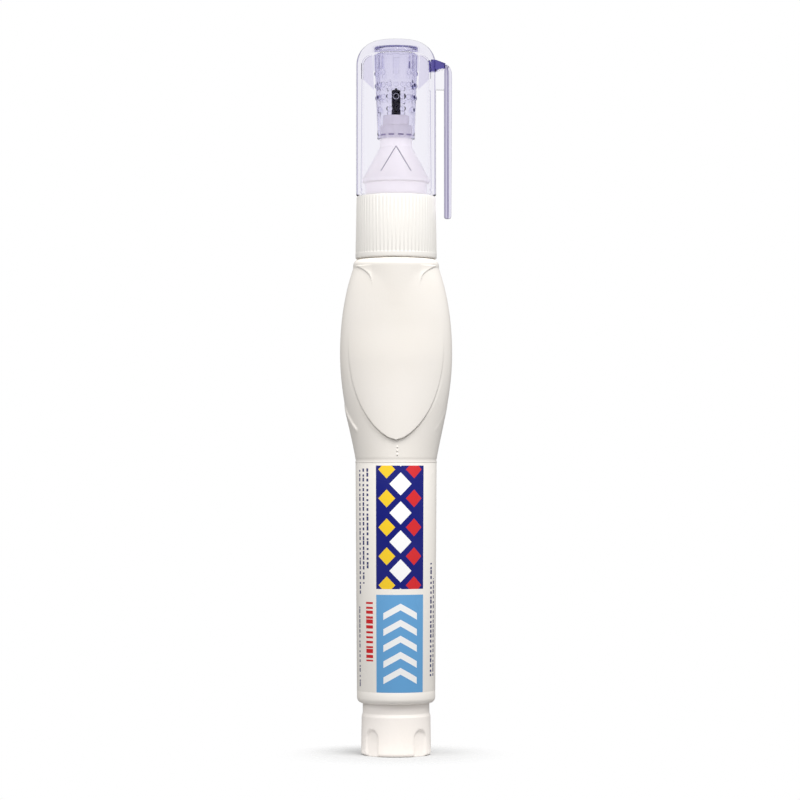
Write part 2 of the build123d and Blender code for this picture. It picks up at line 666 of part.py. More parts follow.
with BuildPart() as cap_sleeve:
    lip_radius = SLEEVE_LOW_RADIUS + SLEEVE_LIP_PROUD
    lip_top = Z_SLEEVE + SLEEVE_LIP_HEIGHT
    seal_top = Z_SLEEVE + SLEEVE_SEAL_LENGTH
    sleeve_inner_top = Z_CEILING - SLEEVE_WALL
    sleeve_inner_radius = sleeve_radius(sleeve_inner_top) - SLEEVE_WALL
    with BuildSketch(Plane.XZ) as sleeve_outline:
        with BuildLine():
            Polyline(
                (SLEEVE_BORE, Z_SLEEVE),
                (lip_radius, Z_SLEEVE),
                (lip_radius, lip_top),
                (sleeve_radius(lip_top), lip_top),
                (SLEEVE_TOP_RADIUS, Z_CEILING),
                (0, Z_CEILING),
                (0, sleeve_inner_top),
                (sleeve_inner_radius, sleeve_inner_top),
                (SLEEVE_BORE, seal_top),
                close=True,
            )
        make_face()
        dome_corner = sleeve_outline.vertices().sort_by_distance((sleeve_inner_radius, sleeve_inner_top))[0]
        fillet(dome_corner, SLEEVE_DOME_ROUND)
    revolve(axis=Axis.Z)
    with PolarLocations(0, SLEEVE_RIBS, start_angle=FRONT_ANGLE):
        add(sleeve_rib.part)
    for column_set in range(2):
        column_start = FRONT_ANGLE + column_set * 180 / SLEEVE_RIBS
        for row in range(NUB_ROWS):
            nub_z = rib_low - NUB_RADIUS - (row + column_set) * NUB_ROW_PITCH
            nub_circle = sleeve_radius(nub_z) + NUB_PROUD - NUB_RADIUS
            with Locations((0, 0, nub_z)):
                with PolarLocations(nub_circle, SLEEVE_RIBS, start_angle=column_start):
                    Sphere(NUB_RADIUS)
cap_sleeve.part.label = "cap_sleeve"
export_step(cap_sleeve.part, "parts/cap_sleeve.step")
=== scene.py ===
# %% [markdown]
# # A squeeze correction pen
# The pen stands on its tail plug: a fluted plug, a wrap label, a soft oval barrel, a ribbed nozzle
# with a metal tip, and a clear lilac cap with a pocket clip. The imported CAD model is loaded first
# and stays as the fixed frame: every piece below is made in the same place, in metres, and rides on
# one of its bodies. The parts that nobody sees keep their CAD shape and get a finish.

from math import acos, cos, pi, radians, sin, tan

import bmesh
import bpy
import numpy as np
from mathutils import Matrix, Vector


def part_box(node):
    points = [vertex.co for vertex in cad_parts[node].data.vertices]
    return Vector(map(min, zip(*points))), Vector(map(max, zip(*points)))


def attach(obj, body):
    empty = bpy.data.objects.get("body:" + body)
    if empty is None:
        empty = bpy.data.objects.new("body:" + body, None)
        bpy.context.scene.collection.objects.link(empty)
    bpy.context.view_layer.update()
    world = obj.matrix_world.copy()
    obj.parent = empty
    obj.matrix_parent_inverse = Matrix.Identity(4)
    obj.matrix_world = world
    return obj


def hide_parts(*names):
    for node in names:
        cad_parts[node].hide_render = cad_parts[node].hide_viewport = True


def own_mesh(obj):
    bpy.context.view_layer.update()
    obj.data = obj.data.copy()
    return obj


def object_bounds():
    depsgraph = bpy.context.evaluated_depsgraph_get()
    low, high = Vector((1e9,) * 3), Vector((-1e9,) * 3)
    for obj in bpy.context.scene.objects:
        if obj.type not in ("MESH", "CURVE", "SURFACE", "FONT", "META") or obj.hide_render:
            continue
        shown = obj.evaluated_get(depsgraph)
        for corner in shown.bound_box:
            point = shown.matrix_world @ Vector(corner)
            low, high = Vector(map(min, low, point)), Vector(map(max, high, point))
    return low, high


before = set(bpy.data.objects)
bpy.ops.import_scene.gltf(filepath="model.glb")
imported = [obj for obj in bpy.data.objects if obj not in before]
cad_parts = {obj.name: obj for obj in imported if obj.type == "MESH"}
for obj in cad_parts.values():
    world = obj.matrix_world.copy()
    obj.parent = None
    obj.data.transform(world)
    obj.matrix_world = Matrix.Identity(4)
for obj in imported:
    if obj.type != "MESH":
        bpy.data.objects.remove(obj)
cad_low, cad_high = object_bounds()
MM = 0.001
print("CAD box in mm:", [round(value / MM, 2) for value in (*cad_low, *cad_high)])

# %% [markdown]
# ## Camera
# The photograph was taken from the front, a little above the middle of the pen, with a long lens.
# The height of the horizon and the taper of the outline give the camera's height and distance.

# %% Set the camera
def add_object(name, data):
    """A new object with this data, linked to the scene."""
    made = bpy.data.objects.new(name, data)
    bpy.context.scene.collection.objects.link(made)
    return made


CAMERA_SIDE = 0.77 * MM
CAMERA_DISTANCE = 569 * MM
CAMERA_HEIGHT = 55.7 * MM
CAMERA_PITCH = radians(1.373)
CAMERA_LENS = 130.5
CAMERA_SENSOR = 36.0
CAMERA_NEAREST = 0.01

camera_data = bpy.data.cameras.new("camera")
camera_data.lens = CAMERA_LENS
camera_data.sensor_width = CAMERA_SENSOR
camera_data.clip_start = CAMERA_NEAREST
camera = add_object("camera", camera_data)
camera.location = (CAMERA_SIDE, -CAMERA_DISTANCE, CAMERA_HEIGHT)
camera.rotation_euler = (pi / 2 + CAMERA_PITCH, 0, 0)
bpy.context.scene.camera = camera
print("camera at", [round(value, 3) for value in camera.location])

# %% [markdown]
# ## Node helpers
# Long node trees read better when a node is one short call. `add_node` makes a node and fills its
# inputs: a plain value is written on the socket, and a socket of another node is linked to it.


# %% Helpers for node trees
def fill(tree, socket, value):
    """Write a plain value on a socket, or link another node's output to it."""
    if isinstance(value, bpy.types.NodeSocket):
        tree.links.new(value, socket)
    else:
        socket.default_value = value


def add_node(tree, kind, inputs=None, **settings):
    """One new node with its settings and its inputs, which are named or numbered."""
    node = tree.nodes.new(kind)
    for name, value in settings.items():
        setattr(node, name, value)
    for name, value in (inputs or {}).items():
        fill(tree, node.inputs[name], value)
    return node


def calc(tree, operation, *values):
    """The output of one Math node."""
    return add_node(tree, "ShaderNodeMath", dict(enumerate(values)), operation=operation).outputs[0]


def blend(tree, share, first, second, mode="MIX"):
    """The colour between two colours at a share from 0 to 1."""
    node = add_node(tree, "ShaderNodeMix", data_type="RGBA", blend_type=mode)
    fill(tree, node.inputs["Factor"], share)
    fill(tree, node.inputs[6], first)
    fill(tree, node.inputs[7], second)
    return node.outputs[2]


def remap(tree, value, from_low, from_high, to_low, to_high, smooth=False):
    """The output of one Map Range node."""
    numbers = {0: value, 1: from_low, 2: from_high, 3: to_low, 4: to_high}
    kind = "SMOOTHSTEP" if smooth else "LINEAR"
    return add_node(tree, "ShaderNodeMapRange", numbers, interpolation_type=kind).outputs[0]


def noise(tree, place, scale, detail=2.0):
    """The value of one Noise Texture node."""
    numbers = {"Vector": place, "Scale": scale, "Detail": detail}
    return add_node(tree, "ShaderNodeTexNoise", numbers).outputs[0]


def srgb(red, green, blue):
    """A colour as it is seen on a screen, 0 to 255, as the linear values that sockets take."""
    shares = [value / 255 for value in (red, green, blue)]
    linear = [s / 12.92 if s <= 0.04045 else ((s + 0.055) / 1.055) ** 2.4 for s in shares]
    return (*linear, 1.0)


print("node helpers ready")

# %% [markdown]
# ## Studio
# A clear cap has no colour of its own to speak of: it shows the room. So the room is a ring of
# white panels with narrow dim gaps between them, which only reflections and refractions see. The
# camera sees plain white, and matt surfaces get soft light that is stronger from above than from
# below. Under the cap, which scatters it, that light comes from the sides more than from above.

# %% Build the world
WHITE = (1.0, 1.0, 1.0, 1.0)
BLACK = (0.0, 0.0, 0.0, 1.0)
GAP_COLOUR = (0.28, 0.25, 0.48, 1.0)
SKY_LIGHT = 0.88
GROUND_LIGHT = 0.16
MIRROR_LIGHT = 0.14
CAP_FILL = (1.60, 1.57, 1.72, 1.0)
PANEL_COUNT = 8
# The span over which a light changes and, for the cap, its levels at both ends.
PANEL_EDGE = (-0.99, -0.93)
PANEL_TOP = (0.45, 0.6)
SOFT_RISE = (-0.35, 0.25)
GLOSS_RISE = (0.1, 0.75)
CAP_RISE = (-0.7, -0.1, 0.3, 1.0)
CAP_FALL = (0.0, 0.7, 1.0, 0.2)

world = bpy.data.worlds.new("studio")
bpy.context.scene.world = world
world.use_nodes = True
room = world.node_tree
room.nodes.clear()


def change(value, low, high, start=0.0, end=1.0):
    """A level of the room that changes smoothly while a value goes from low to high."""
    return remap(room, value, low, high, start, end, smooth=True)


direction = add_node(room, "ShaderNodeTexCoord").outputs["Generated"]
east, north, height = add_node(room, "ShaderNodeSeparateXYZ", {0: direction}).outputs
azimuth = calc(room, "ARCTAN2", north, east)
panel_wave = calc(room, "COSINE", calc(room, "MULTIPLY", azimuth, float(PANEL_COUNT)))
panel_mask = calc(room, "MAXIMUM", change(panel_wave, *PANEL_EDGE), change(height, *PANEL_TOP))
panel_colour = blend(room, panel_mask, GAP_COLOUR, WHITE)
soft_light = blend(room, change(height, *SOFT_RISE, GROUND_LIGHT, SKY_LIGHT), BLACK, WHITE)
gloss_light = blend(room, change(height, *GLOSS_RISE, MIRROR_LIGHT, 1.0), BLACK, WHITE)
cap_level = calc(room, "MULTIPLY", change(height, *CAP_RISE), change(height, *CAP_FALL))
cap_light = blend(room, cap_level, BLACK, CAP_FILL)
ray = add_node(room, "ShaderNodeLightPath").outputs
on_matt = calc(room, "MINIMUM", ray["Diffuse Depth"], 1.0)
under_cap = calc(room, "MINIMUM", ray["Transmission Depth"], 1.0)
seen = blend(room, ray["Is Glossy Ray"], soft_light, gloss_light)
seen = blend(room, ray["Is Transmission Ray"], seen, panel_colour)
seen = blend(room, on_matt, seen, blend(room, under_cap, soft_light, cap_light))
seen = blend(room, ray["Is Camera Ray"], seen, WHITE)
background = add_node(room, "ShaderNodeBackground", {"Color": seen, "Strength": 1.0})
add_node(room, "ShaderNodeOutputWorld", {"Surface": background.outputs[0]})
bpy.context.scene.view_settings.view_transform = "Standard"
print("world with", PANEL_COUNT, "panels")

# %% [markdown]
# The lamps are two large soft boxes: the main one in front, high and to the right, and a weaker one
# high on the left. They only shape the pale plastic, so their level stays near that of the room.

# %% Add the lamps
PEN_MIDDLE = (0, 0, (cad_low.z + cad_high.z) / 2)


def soft_box(name, place, side, power):
    """A square area lamp that faces the middle of the pen."""
    data = bpy.data.lights.new(name, "AREA")
    data.shape = "RECTANGLE"
    data.size = side
    data.size_y = side
    data.energy = power
    lamp = add_object(name, data)
    lamp.location = place
    lamp.rotation_euler = (Vector(PEN_MIDDLE) - Vector(place)).to_track_quat("-Z", "Y").to_euler()
    lamp.visible_transmission = False


soft_box("main_box", place=(0.25, -0.39, 0.88), side=0.5, power=7.9)
soft_box("fill_box", place=(-0.45, -0.42, 0.76), side=0.45, power=2.7)

# %% [markdown]
# The floor is a disc that takes the pen's shadow and fades out into the white of the room, so no
# edge of it shows behind the pen.

# %% Lay the floor
FLOOR_RADIUS = 0.30
FLOOR_FADE_FROM = 0.006
FLOOR_FADE_TO = 0.024
FLOOR_COLUMNS = 96
PAPER_GRAIN = 400.0
PAPER_LOW = (0.50, 0.50, 0.50, 1.0)
PAPER_HIGH = (0.54, 0.54, 0.54, 1.0)

floor_mesh = bpy.data.meshes.new("floor")
floor_builder = bmesh.new()
bmesh.ops.create_circle(
    floor_builder, cap_ends=True, segments=FLOOR_COLUMNS, radius=FLOOR_RADIUS
)
floor_builder.to_mesh(floor_mesh)
floor_builder.free()
floor = add_object("floor", floor_mesh)
floor_material = bpy.data.materials.new("floor_paper")
floor_material.use_nodes = True
paper = floor_material.node_tree
paper.nodes.clear()
place = add_node(paper, "ShaderNodeTexCoord").outputs["Object"]
from_pen = add_node(paper, "ShaderNodeVectorMath", {0: place}, operation="LENGTH").outputs["Value"]
fade = remap(paper, from_pen, FLOOR_FADE_FROM, FLOOR_FADE_TO, 0.0, 1.0, smooth=True)
paper_colour = blend(paper, noise(paper, place, PAPER_GRAIN), PAPER_LOW, PAPER_HIGH)
lit = add_node(paper, "ShaderNodeBsdfDiffuse", {"Color": paper_colour})
gone = add_node(paper, "ShaderNodeBsdfTransparent")
mixed = add_node(paper, "ShaderNodeMixShader", {0: fade, 1: lit.outputs[0], 2: gone.outputs[0]})
add_node(paper, "ShaderNodeOutputMaterial", {"Surface": mixed.outputs[0]})
floor_mesh.materials.append(floor_material)
print("floor radius", FLOOR_RADIUS)

# %% [markdown]
# ## Finishes
# Moulded plastic is never one even colour. A shared group gives each white part a faint cloudiness,
# a slow change of gloss and a very fine grain, at sizes set for each part.

# %% Shared effect: moulded skin
def new_group(name, inputs, outputs):
    """An empty shader node group with named value inputs and named outputs."""
    group = bpy.data.node_groups.new(name, "ShaderNodeTree")
    for label, value in inputs.items():
        socket = group.interface.new_socket(label, in_out="INPUT", socket_type="NodeSocketFloat")
        socket.default_value = value
    for label, kind in outputs.items():
        group.interface.new_socket(label, in_out="OUTPUT", socket_type=kind)
    return group


CLOUD_SPAN = (0.3, 0.7)
skin_group = new_group(
    "moulded skin",
    {"Cloud Scale": 60.0, "Grain Scale": 2500.0, "Gloss Low": 0.3, "Gloss High": 0.4},
    {"Cloud": "NodeSocketFloat", "Roughness": "NodeSocketFloat", "Grain": "NodeSocketFloat"},
)
skin_in = add_node(skin_group, "NodeGroupInput").outputs
skin_place = add_node(skin_group, "ShaderNodeTexCoord").outputs["Object"]
cloud = noise(skin_group, skin_place, skin_in["Cloud Scale"], 3.0)
fine = noise(skin_group, skin_place, skin_in["Grain Scale"])
skin_gloss = remap(skin_group, cloud, *CLOUD_SPAN, skin_in["Gloss Low"], skin_in["Gloss High"])
add_node(skin_group, "NodeGroupOutput", {"Cloud": cloud, "Roughness": skin_gloss, "Grain": fine})


def add_skin(tree, shader, gloss, grain=0.0):
    """Give a shader the gloss and the grain of moulded skin; the outputs of its group."""
    limits = {"Gloss Low": gloss[0], "Gloss High": gloss[1]}
    skin = add_node(tree, "ShaderNodeGroup", limits, node_tree=skin_group).outputs
    fill(tree, shader.inputs["Roughness"], skin["Roughness"])
    if grain:
        relief = add_node(tree, "ShaderNodeBump", {"Height": skin["Grain"], "Distance": grain})
        fill(tree, shader.inputs["Normal"], relief.outputs[0])
    return skin


def in_line(tree):
    """How far a point lies in a fine line of its piece, which the mesh stores."""
    return add_node(tree, "ShaderNodeAttribute", attribute_name="line").outputs["Fac"]


print("group", skin_group.name)


# %% Materials: white plastics
def blank_material(name):
    """A material with only a Principled shader, and its node tree and shader."""
    material = bpy.data.materials.new(name)
    material.use_nodes = True
    tree = material.node_tree
    tree.nodes.clear()
    shader = add_node(tree, "ShaderNodeBsdfPrincipled")
    add_node(tree, "ShaderNodeOutputMaterial", {"Surface": shader.outputs[0]})
    return material, tree, shader


def moulded(name, pale, deep, gloss=(0.28, 0.4), lines=False):
    """Moulded white plastic in two close tones, fine grain and painted shade in its lines."""
    material, tree, shader = blank_material(name)
    skin = add_skin(tree, shader, gloss, MOULD_GRAIN)
    tone = blend(tree, remap(tree, skin["Cloud"], *CLOUD_SPAN, 0.0, 1.0), pale, deep)
    if lines:
        tone = blend(tree, in_line(tree), tone, LINE_SHADE)
    fill(tree, shader.inputs["Base Color"], tone)
    shader.inputs["IOR"].default_value = MOULD_BEND
    return material


MOULD_GRAIN = 0.00001
MOULD_BEND = 1.49
# Painted shade: the colour that darkens fine grooves, standing in for the shade in them.
LINE_SHADE = srgb(96, 88, 112)
barrel_white = moulded("barrel_white", srgb(247, 242, 236), srgb(243, 237, 229))
plug_white = moulded("plug_white", srgb(245, 239, 234), srgb(241, 234, 227))
nozzle_white = moulded("nozzle_white", srgb(249, 246, 241), srgb(246, 242, 236), lines=True)
retainer_white = moulded("retainer_white", srgb(238, 238, 234), srgb(230, 230, 226), (0.45, 0.6))
print("white plastics ready")

# %% [markdown]
# The cap and its sleeve are clear plastic with a lilac tint. The tint sits in the volume, so thick
# places and edges, where light travels far inside the wall, come out deeper than the open wall.


# %% Materials: clear plastics
def clear_plastic(name, tint, density, bend, lines=None, skin_colour=None):
    """Clear tinted plastic whose tint deepens with the length of the light's way in it."""
    material, tree, shader = blank_material(name)
    add_skin(tree, shader, CLEAR_GLOSS)
    shader.inputs["Base Color"].default_value = skin_colour or CLEAR_SKIN
    # Where the mesh marks lines, the surface colour takes painted shade.
    if lines:
        fill(tree, shader.inputs["Base Color"], blend(tree, in_line(tree), CLEAR_SKIN, lines))
    shader.inputs["IOR"].default_value = bend
    shader.inputs["Transmission Weight"].default_value = 1.0
    inside = add_node(tree, "ShaderNodeVolumeAbsorption", {"Color": tint, "Density": density})
    ending = next(node for node in tree.nodes if node.type == "OUTPUT_MATERIAL")
    fill(tree, ending.inputs["Volume"], inside.outputs[0])
    lamp_ray = add_node(tree, "ShaderNodeLightPath").outputs["Is Shadow Ray"]
    opened = add_node(tree, "ShaderNodeBsdfTransparent", {"Color": LAMP_PASS})
    ways = {0: lamp_ray, 1: shader.outputs[0], 2: opened.outputs[0]}
    passing = add_node(tree, "ShaderNodeMixShader", ways)
    fill(tree, ending.inputs["Surface"], passing.outputs[0])
    return material


CLEAR_GLOSS = (0.01, 0.03)
LAMP_PASS = (0.28, 0.275, 0.295, 1.0)
CLEAR_SKIN = (0.98, 0.975, 0.995, 1.0)
CAP_SKIN = (0.962, 0.957, 0.982, 1.0)
# Painted shade: the dark lines down the clip's steps.
CLIP_PAINTED_SHADE = (0.40, 0.37, 0.52, 1.0)
# Painted shade: the dark dashes in the sleeve lip's groove.
LIP_PAINTED_SHADE = (0.22, 0.18, 0.36, 1.0)
CAP_TINT = (0.30, 0.24, 0.58, 1.0)
ROOT_TINT = (0.20, 0.15, 0.60, 1.0)
SLEEVE_TINT = (0.19, 0.16, 0.58, 1.0)
cap_clear = clear_plastic("cap_clear", CAP_TINT, 20.0, 1.07, skin_colour=CAP_SKIN)
gusset_clear = clear_plastic("gusset_clear", CAP_TINT, 130.0, 1.08)
clip_clear = clear_plastic("clip_clear", CAP_TINT, 110.0, 1.2, lines=CLIP_PAINTED_SHADE)
root_clear = clear_plastic("root_clear", ROOT_TINT, 900.0, 1.1)
sleeve_clear = clear_plastic("sleeve_clear", SLEEVE_TINT, 170.0, 1.2, lines=LIP_PAINTED_SHADE)
print("clear plastics ready")


# %% Materials: metals
STREAK_STRETCH = (1.0, 1.0, 0.05)
STREAK_SCALE = 6000.0


def metal(name, colour, streak, gloss):
    """Metal with faint streaks along the axis and a changing gloss."""
    material, tree, shader = blank_material(name)
    where = add_node(tree, "ShaderNodeTexCoord").outputs["Object"]
    stretched = add_node(tree, "ShaderNodeMapping", {"Vector": where, "Scale": STREAK_STRETCH})
    streaks = noise(tree, stretched.outputs[0], STREAK_SCALE)
    fill(tree, shader.inputs["Base Color"], blend(tree, streaks, colour, streak))
    fill(tree, shader.inputs["Roughness"], remap(tree, streaks, *CLOUD_SPAN, *gloss))
    shader.inputs["Metallic"].default_value = 1.0
    return material


tip_chrome = metal("tip_chrome", (0.008, 0.007, 0.012, 1), (0.018, 0.016, 0.024, 1), (0.06, 0.14))
pin_steel = metal("pin_steel", (0.03, 0.03, 0.04, 1), (0.06, 0.06, 0.07, 1), (0.15, 0.25))
wire_steel = metal("wire_steel", (0.52, 0.52, 0.54, 1), (0.62, 0.62, 0.63, 1), (0.2, 0.32))
ball_steel = metal("ball_steel", (0.56, 0.56, 0.57, 1), (0.66, 0.66, 0.66, 1), (0.12, 0.2))
print("metals ready")

# %% [markdown]
# ## Mesh helpers
# Nearly every piece is turned about the pen's axis. An outline is a short list of corners, each
# with its own rounding; `round_corners` replaces a corner by an arc, and `skin_rings` joins rings
# of points into a closed skin. Where a piece isn't round, only the radius of its rings changes.


# %% Helpers for outlines and rings
CORNER_SHARE = 0.49
END_SHARE = 0.95


def round_corners(corners, steps=5):
    """Points of an outline whose corners (radius, height, rounding) become arcs."""
    points = []
    for index, (radius, height, rounding) in enumerate(corners):
        corner = Vector((radius, height))
        if not rounding:
            points.append(corner)
            continue
        sides = (corners[index - 1], corners[(index + 1) % len(corners)])
        to_last, to_next = [Vector(side[:2]) - corner for side in sides]
        free = min(
            (Vector(side[:2]) - corner).length * (CORNER_SHARE if side[2] else END_SHARE)
            for side in sides
        )
        opening = to_last.angle(to_next)
        rounding = min(rounding, tan(opening / 2) * free)
        inward = (to_last.normalized() + to_next.normalized()).normalized()
        middle = corner + inward * rounding / sin(opening / 2)
        start = corner + to_last.normalized() * rounding / tan(opening / 2) - middle
        end = corner + to_next.normalized() * rounding / tan(opening / 2) - middle
        turn = acos(max(-1.0, min(1.0, start.dot(end) / rounding**2)))
        for step in range(steps + 1):
            share = step / steps
            first, last = sin((1 - share) * turn), sin(share * turn)
            points.append(middle + (start * first + end * last) / sin(turn))
    return [(point.x, point.y) for point in points]


def divide(outline, longest, closed=False):
    """The same outline with its long straight stretches divided."""
    nexts = outline[1:] + outline[:1] if closed else outline[1:]
    points = []
    for first, last in zip(outline, nexts):
        length = ((last[0] - first[0]) ** 2 + (last[1] - first[1]) ** 2) ** 0.5
        parts = max(1, round(length / longest))
        way = np.subtract(last, first)
        points += [tuple(np.add(first, way * part / parts)) for part in range(parts)]
    return points if closed else points + [outline[-1]]


def turns(columns):
    """The angles of the points of a ring."""
    return np.arange(columns) * 2 * pi / columns


def ring(radius, height, columns):
    """One ring of points about the axis; on the axis it is a single point."""
    if np.max(radius) < 1e-6:
        return np.array([[0.0, 0.0, np.max(height)]])
    angle = turns(columns)
    tall = np.broadcast_to(height, angle.shape)
    return np.stack([radius * np.cos(angle), radius * np.sin(angle), tall], axis=1)


def skin_rings(rings, closed=False):
    """Points and faces of the skin over a row of rings, given in millimetres."""
    starts = np.cumsum([0] + [len(points) for points in rings])
    faces = []
    pairs = [(k, k + 1) for k in range(len(rings) - 1)]
    if closed:
        pairs.append((len(rings) - 1, 0))
    for low, high in pairs:
        count = max(len(rings[low]), len(rings[high]))
        for i in range(count):
            j = (i + 1) % count
            here, there = starts[low], starts[high]
            if len(rings[low]) == 1:
                faces.append((here, there + j, there + i))
            elif len(rings[high]) == 1:
                faces.append((here + i, here + j, there))
            else:
                faces.append((here + i, here + j, there + j, there + i))
    return np.concatenate(rings) * MM, faces


def close_ends(points, faces, count):
    """Close both ends of a skin whose first and last rings have this many points."""
    faces.append(tuple(range(count)))
    faces.append(tuple(len(points) - 1 - i for i in range(count)))


print("outline helpers ready")


# %% Helpers for pieces
ROW_WEIGHT = 1000.0


def face_outward(mesh):
    """Turn all faces of a closed mesh outwards."""
    builder = bmesh.new()
    builder.from_mesh(mesh)
    bmesh.ops.recalc_face_normals(builder, faces=builder.faces)
    builder.to_mesh(mesh)
    builder.free()


def soften(mesh, sharp=None):
    """Shade a mesh smoothly, up to an angle in degrees if one is given."""
    mesh.shade_smooth()
    if sharp:
        mesh.set_sharp_from_angle(angle=radians(sharp))


def make_piece(name, points, faces, material, sharp=40):
    """A piece made of points and faces, closed and smooth up to an angle."""
    mesh = bpy.data.meshes.new(name)
    mesh.from_pydata([tuple(p) for p in points], [], [tuple(int(i) for i in f) for f in faces])
    face_outward(mesh)
    soften(mesh, sharp)
    mesh.materials.append(material)
    return add_object(name, mesh)


def built(name, builder, material=None, sharp=None):
    """A piece made of what a mesh builder holds."""
    mesh = bpy.data.meshes.new(name)
    builder.to_mesh(mesh)
    builder.free()
    face_outward(mesh)
    soften(mesh, sharp)
    if material:
        mesh.materials.append(material)
    return add_object(name, mesh)


def row_and_turn(face):
    """A number that puts the faces of a ball in order, row by row and round each row."""
    x, y, z = face.calc_center_median() / MM
    return round(z, 3) * ROW_WEIGHT + float(np.arctan2(y, x))


def ball(name, radius, columns, rows):
    """A small sphere about the origin, for copies, with its faces in a fixed order."""
    builder = bmesh.new()
    bmesh.ops.create_uvsphere(
        builder, u_segments=columns, v_segments=rows, radius=radius * MM
    )
    builder.faces.sort(key=row_and_turn)
    return built(name, builder)


def bevel(builder, edges, rounding, segments=3):
    """Round some edges of what a mesh builder holds."""
    bmesh.ops.bevel(
        builder, geom=edges, offset=rounding * MM, segments=segments, profile=0.5, affect="EDGES"
    )


def turned(name, outline, material, columns=128, closed=True):
    """A piece turned about the axis from an outline of (radius, height) in millimetres."""
    rings = [ring(radius, height, columns) for radius, height in outline]
    return make_piece(name, *skin_rings(rings, closed), material)


def store_lines(piece, shares):
    """Store on each point of a piece how far it lies in a fine line, for its material."""
    values = piece.data.attributes.new("line", "FLOAT", "POINT")
    values.data.foreach_set("value", np.asarray(shares, dtype=np.float32))


def stand_in(piece, body, node):
    """Let a piece ride on a body in place of a CAD node, which it hides, and print both sizes."""
    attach(piece, body)
    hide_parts(node)
    low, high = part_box(node)
    own = [Vector(corner) for corner in piece.bound_box]
    size = [max(c[k] for c in own) - min(c[k] for c in own) for k in range(3)]
    print(piece.name, len(piece.data.polygons), "faces, mm",
          [round(value / MM, 2) for value in size], "for", [round(v / MM, 2) for v in high - low])


print("piece helpers ready")

# %% [markdown]
# ## Copies in a ring
# Ribs, nubs and gussets all repeat about the axis. One Geometry Nodes tree does them all: it makes
# points in rows about the axis, turns each to face outwards, puts the shape of the object on every
# point and makes the copies real.


# %% Build the ring tree
def new_tree(name, whole, lengths):
    """An empty geometry tree with named whole-number and length inputs, and its inputs."""
    tree = bpy.data.node_groups.new(name, "GeometryNodeTree")
    kinds = [("Geometry", "Geometry"), *((label, "Int") for label in whole)]
    kinds += [*((label, "Float") for label in lengths), ("Material", "Material")]
    for label, kind in kinds:
        tree.interface.new_socket(label, in_out="INPUT", socket_type="NodeSocket" + kind)
    tree.interface.new_socket("Geometry", in_out="OUTPUT", socket_type="NodeSocketGeometry")
    return tree, add_node(tree, "NodeGroupInput").outputs


def end_tree(tree, shape, given):
    """Make a tree's copies real, give them the material and hand them out."""
    real = add_node(tree, "GeometryNodeRealizeInstances", {0: shape}).outputs[0]
    dressed = {"Geometry": real, "Material": given["Material"]}
    shown = add_node(tree, "GeometryNodeSetMaterial", dressed).outputs[0]
    add_node(tree, "NodeGroupOutput", {0: shown})
    return tree


def ring_tree():
    """A tree that repeats the object's own mesh about the Z axis, in rows."""
    lengths = ["Start Angle", "Radius", "Radius Slope", "First Height", "Row Pitch"]
    tree, given = new_tree("copies in a ring", ["Count", "Rows"], lengths)
    number = add_node(tree, "GeometryNodeInputIndex").outputs[0]
    row = calc(tree, "FLOOR", calc(tree, "DIVIDE", number, given["Count"]))
    column = calc(tree, "MODULO", number, given["Count"])
    step = calc(tree, "DIVIDE", 2 * pi, given["Count"])
    angle = calc(tree, "ADD", calc(tree, "MULTIPLY", column, step), given["Start Angle"])
    drop = calc(tree, "MULTIPLY", row, given["Row Pitch"])
    height = calc(tree, "ADD", given["First Height"], drop)
    radius = calc(tree, "ADD", given["Radius"], calc(tree, "MULTIPLY", drop, given["Radius Slope"]))
    across = calc(tree, "MULTIPLY", radius, calc(tree, "COSINE", angle))
    along = calc(tree, "MULTIPLY", radius, calc(tree, "SINE", angle))
    spot = add_node(tree, "ShaderNodeCombineXYZ", {0: across, 1: along, 2: height}).outputs[0]
    turn = add_node(tree, "ShaderNodeCombineXYZ", {2: angle}).outputs[0]
    total = calc(tree, "MULTIPLY", given["Count"], given["Rows"])
    points = add_node(tree, "GeometryNodePoints", {"Count": total, "Position": spot}).outputs[0]
    places = {"Points": points, "Instance": given["Geometry"], "Rotation": turn}
    copies = add_node(tree, "GeometryNodeInstanceOnPoints", places).outputs[0]
    return end_tree(tree, copies, given)


RING_TREE = ring_tree()
FRONT = -pi / 2


def bake(piece):
    """Turn a piece's modifiers into a plain mesh."""
    bpy.context.view_layer.update()
    shape = piece.evaluated_get(bpy.context.evaluated_depsgraph_get())
    mesh = bpy.data.meshes.new_from_object(shape)
    piece.modifiers.clear()
    piece.data = mesh
    return piece


def run_tree(piece, tree, material, **values):
    """Give a piece the mesh that a geometry tree makes with these inputs."""
    modifier = piece.modifiers.new(tree.name, "NODES")
    modifier.node_group = tree
    values["Material"] = material
    for item in tree.interface.items_tree:
        if item.in_out == "INPUT" and item.name in values:
            modifier[item.identifier] = values[item.name]
    return bake(piece)


def repeat_in_ring(
    piece, material, count, radius=0.0, start=0.0, rows=1, foot=0.0, pitch=0.0, slope=0.0
):
    """Repeat a piece's mesh about the axis with the ring tree, in millimetres and radians."""
    return run_tree(piece, RING_TREE, material, **{
        "Count": count, "Rows": rows, "Start Angle": start, "Radius": radius * MM,
        "Radius Slope": slope, "First Height": foot * MM, "Row Pitch": pitch * MM})


print("ring tree with", len(RING_TREE.nodes), "nodes")

# %% [markdown]
# ## Levels
# The heights of the pieces come from the boxes of their CAD nodes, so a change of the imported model
# carries over.

# %% Read the levels from the frame
NECK_LENGTH = 8.4
WAIST_BAND = 0.52
GRIP_RISE_LENGTH = 20.9
SHOULDER_HEIGHT = 1.7
COLLAR_ABOVE_NECK = 3.9
CAP_GAP = 0.2
NOSE_LENGTH = 6.2
CONE_LENGTH = 6.4


def top_of(node):
    """Highest level of a CAD node in millimetres."""
    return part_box(node)[1].z / MM


def foot_of(node):
    """Lowest level of a CAD node in millimetres."""
    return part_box(node)[0].z / MM


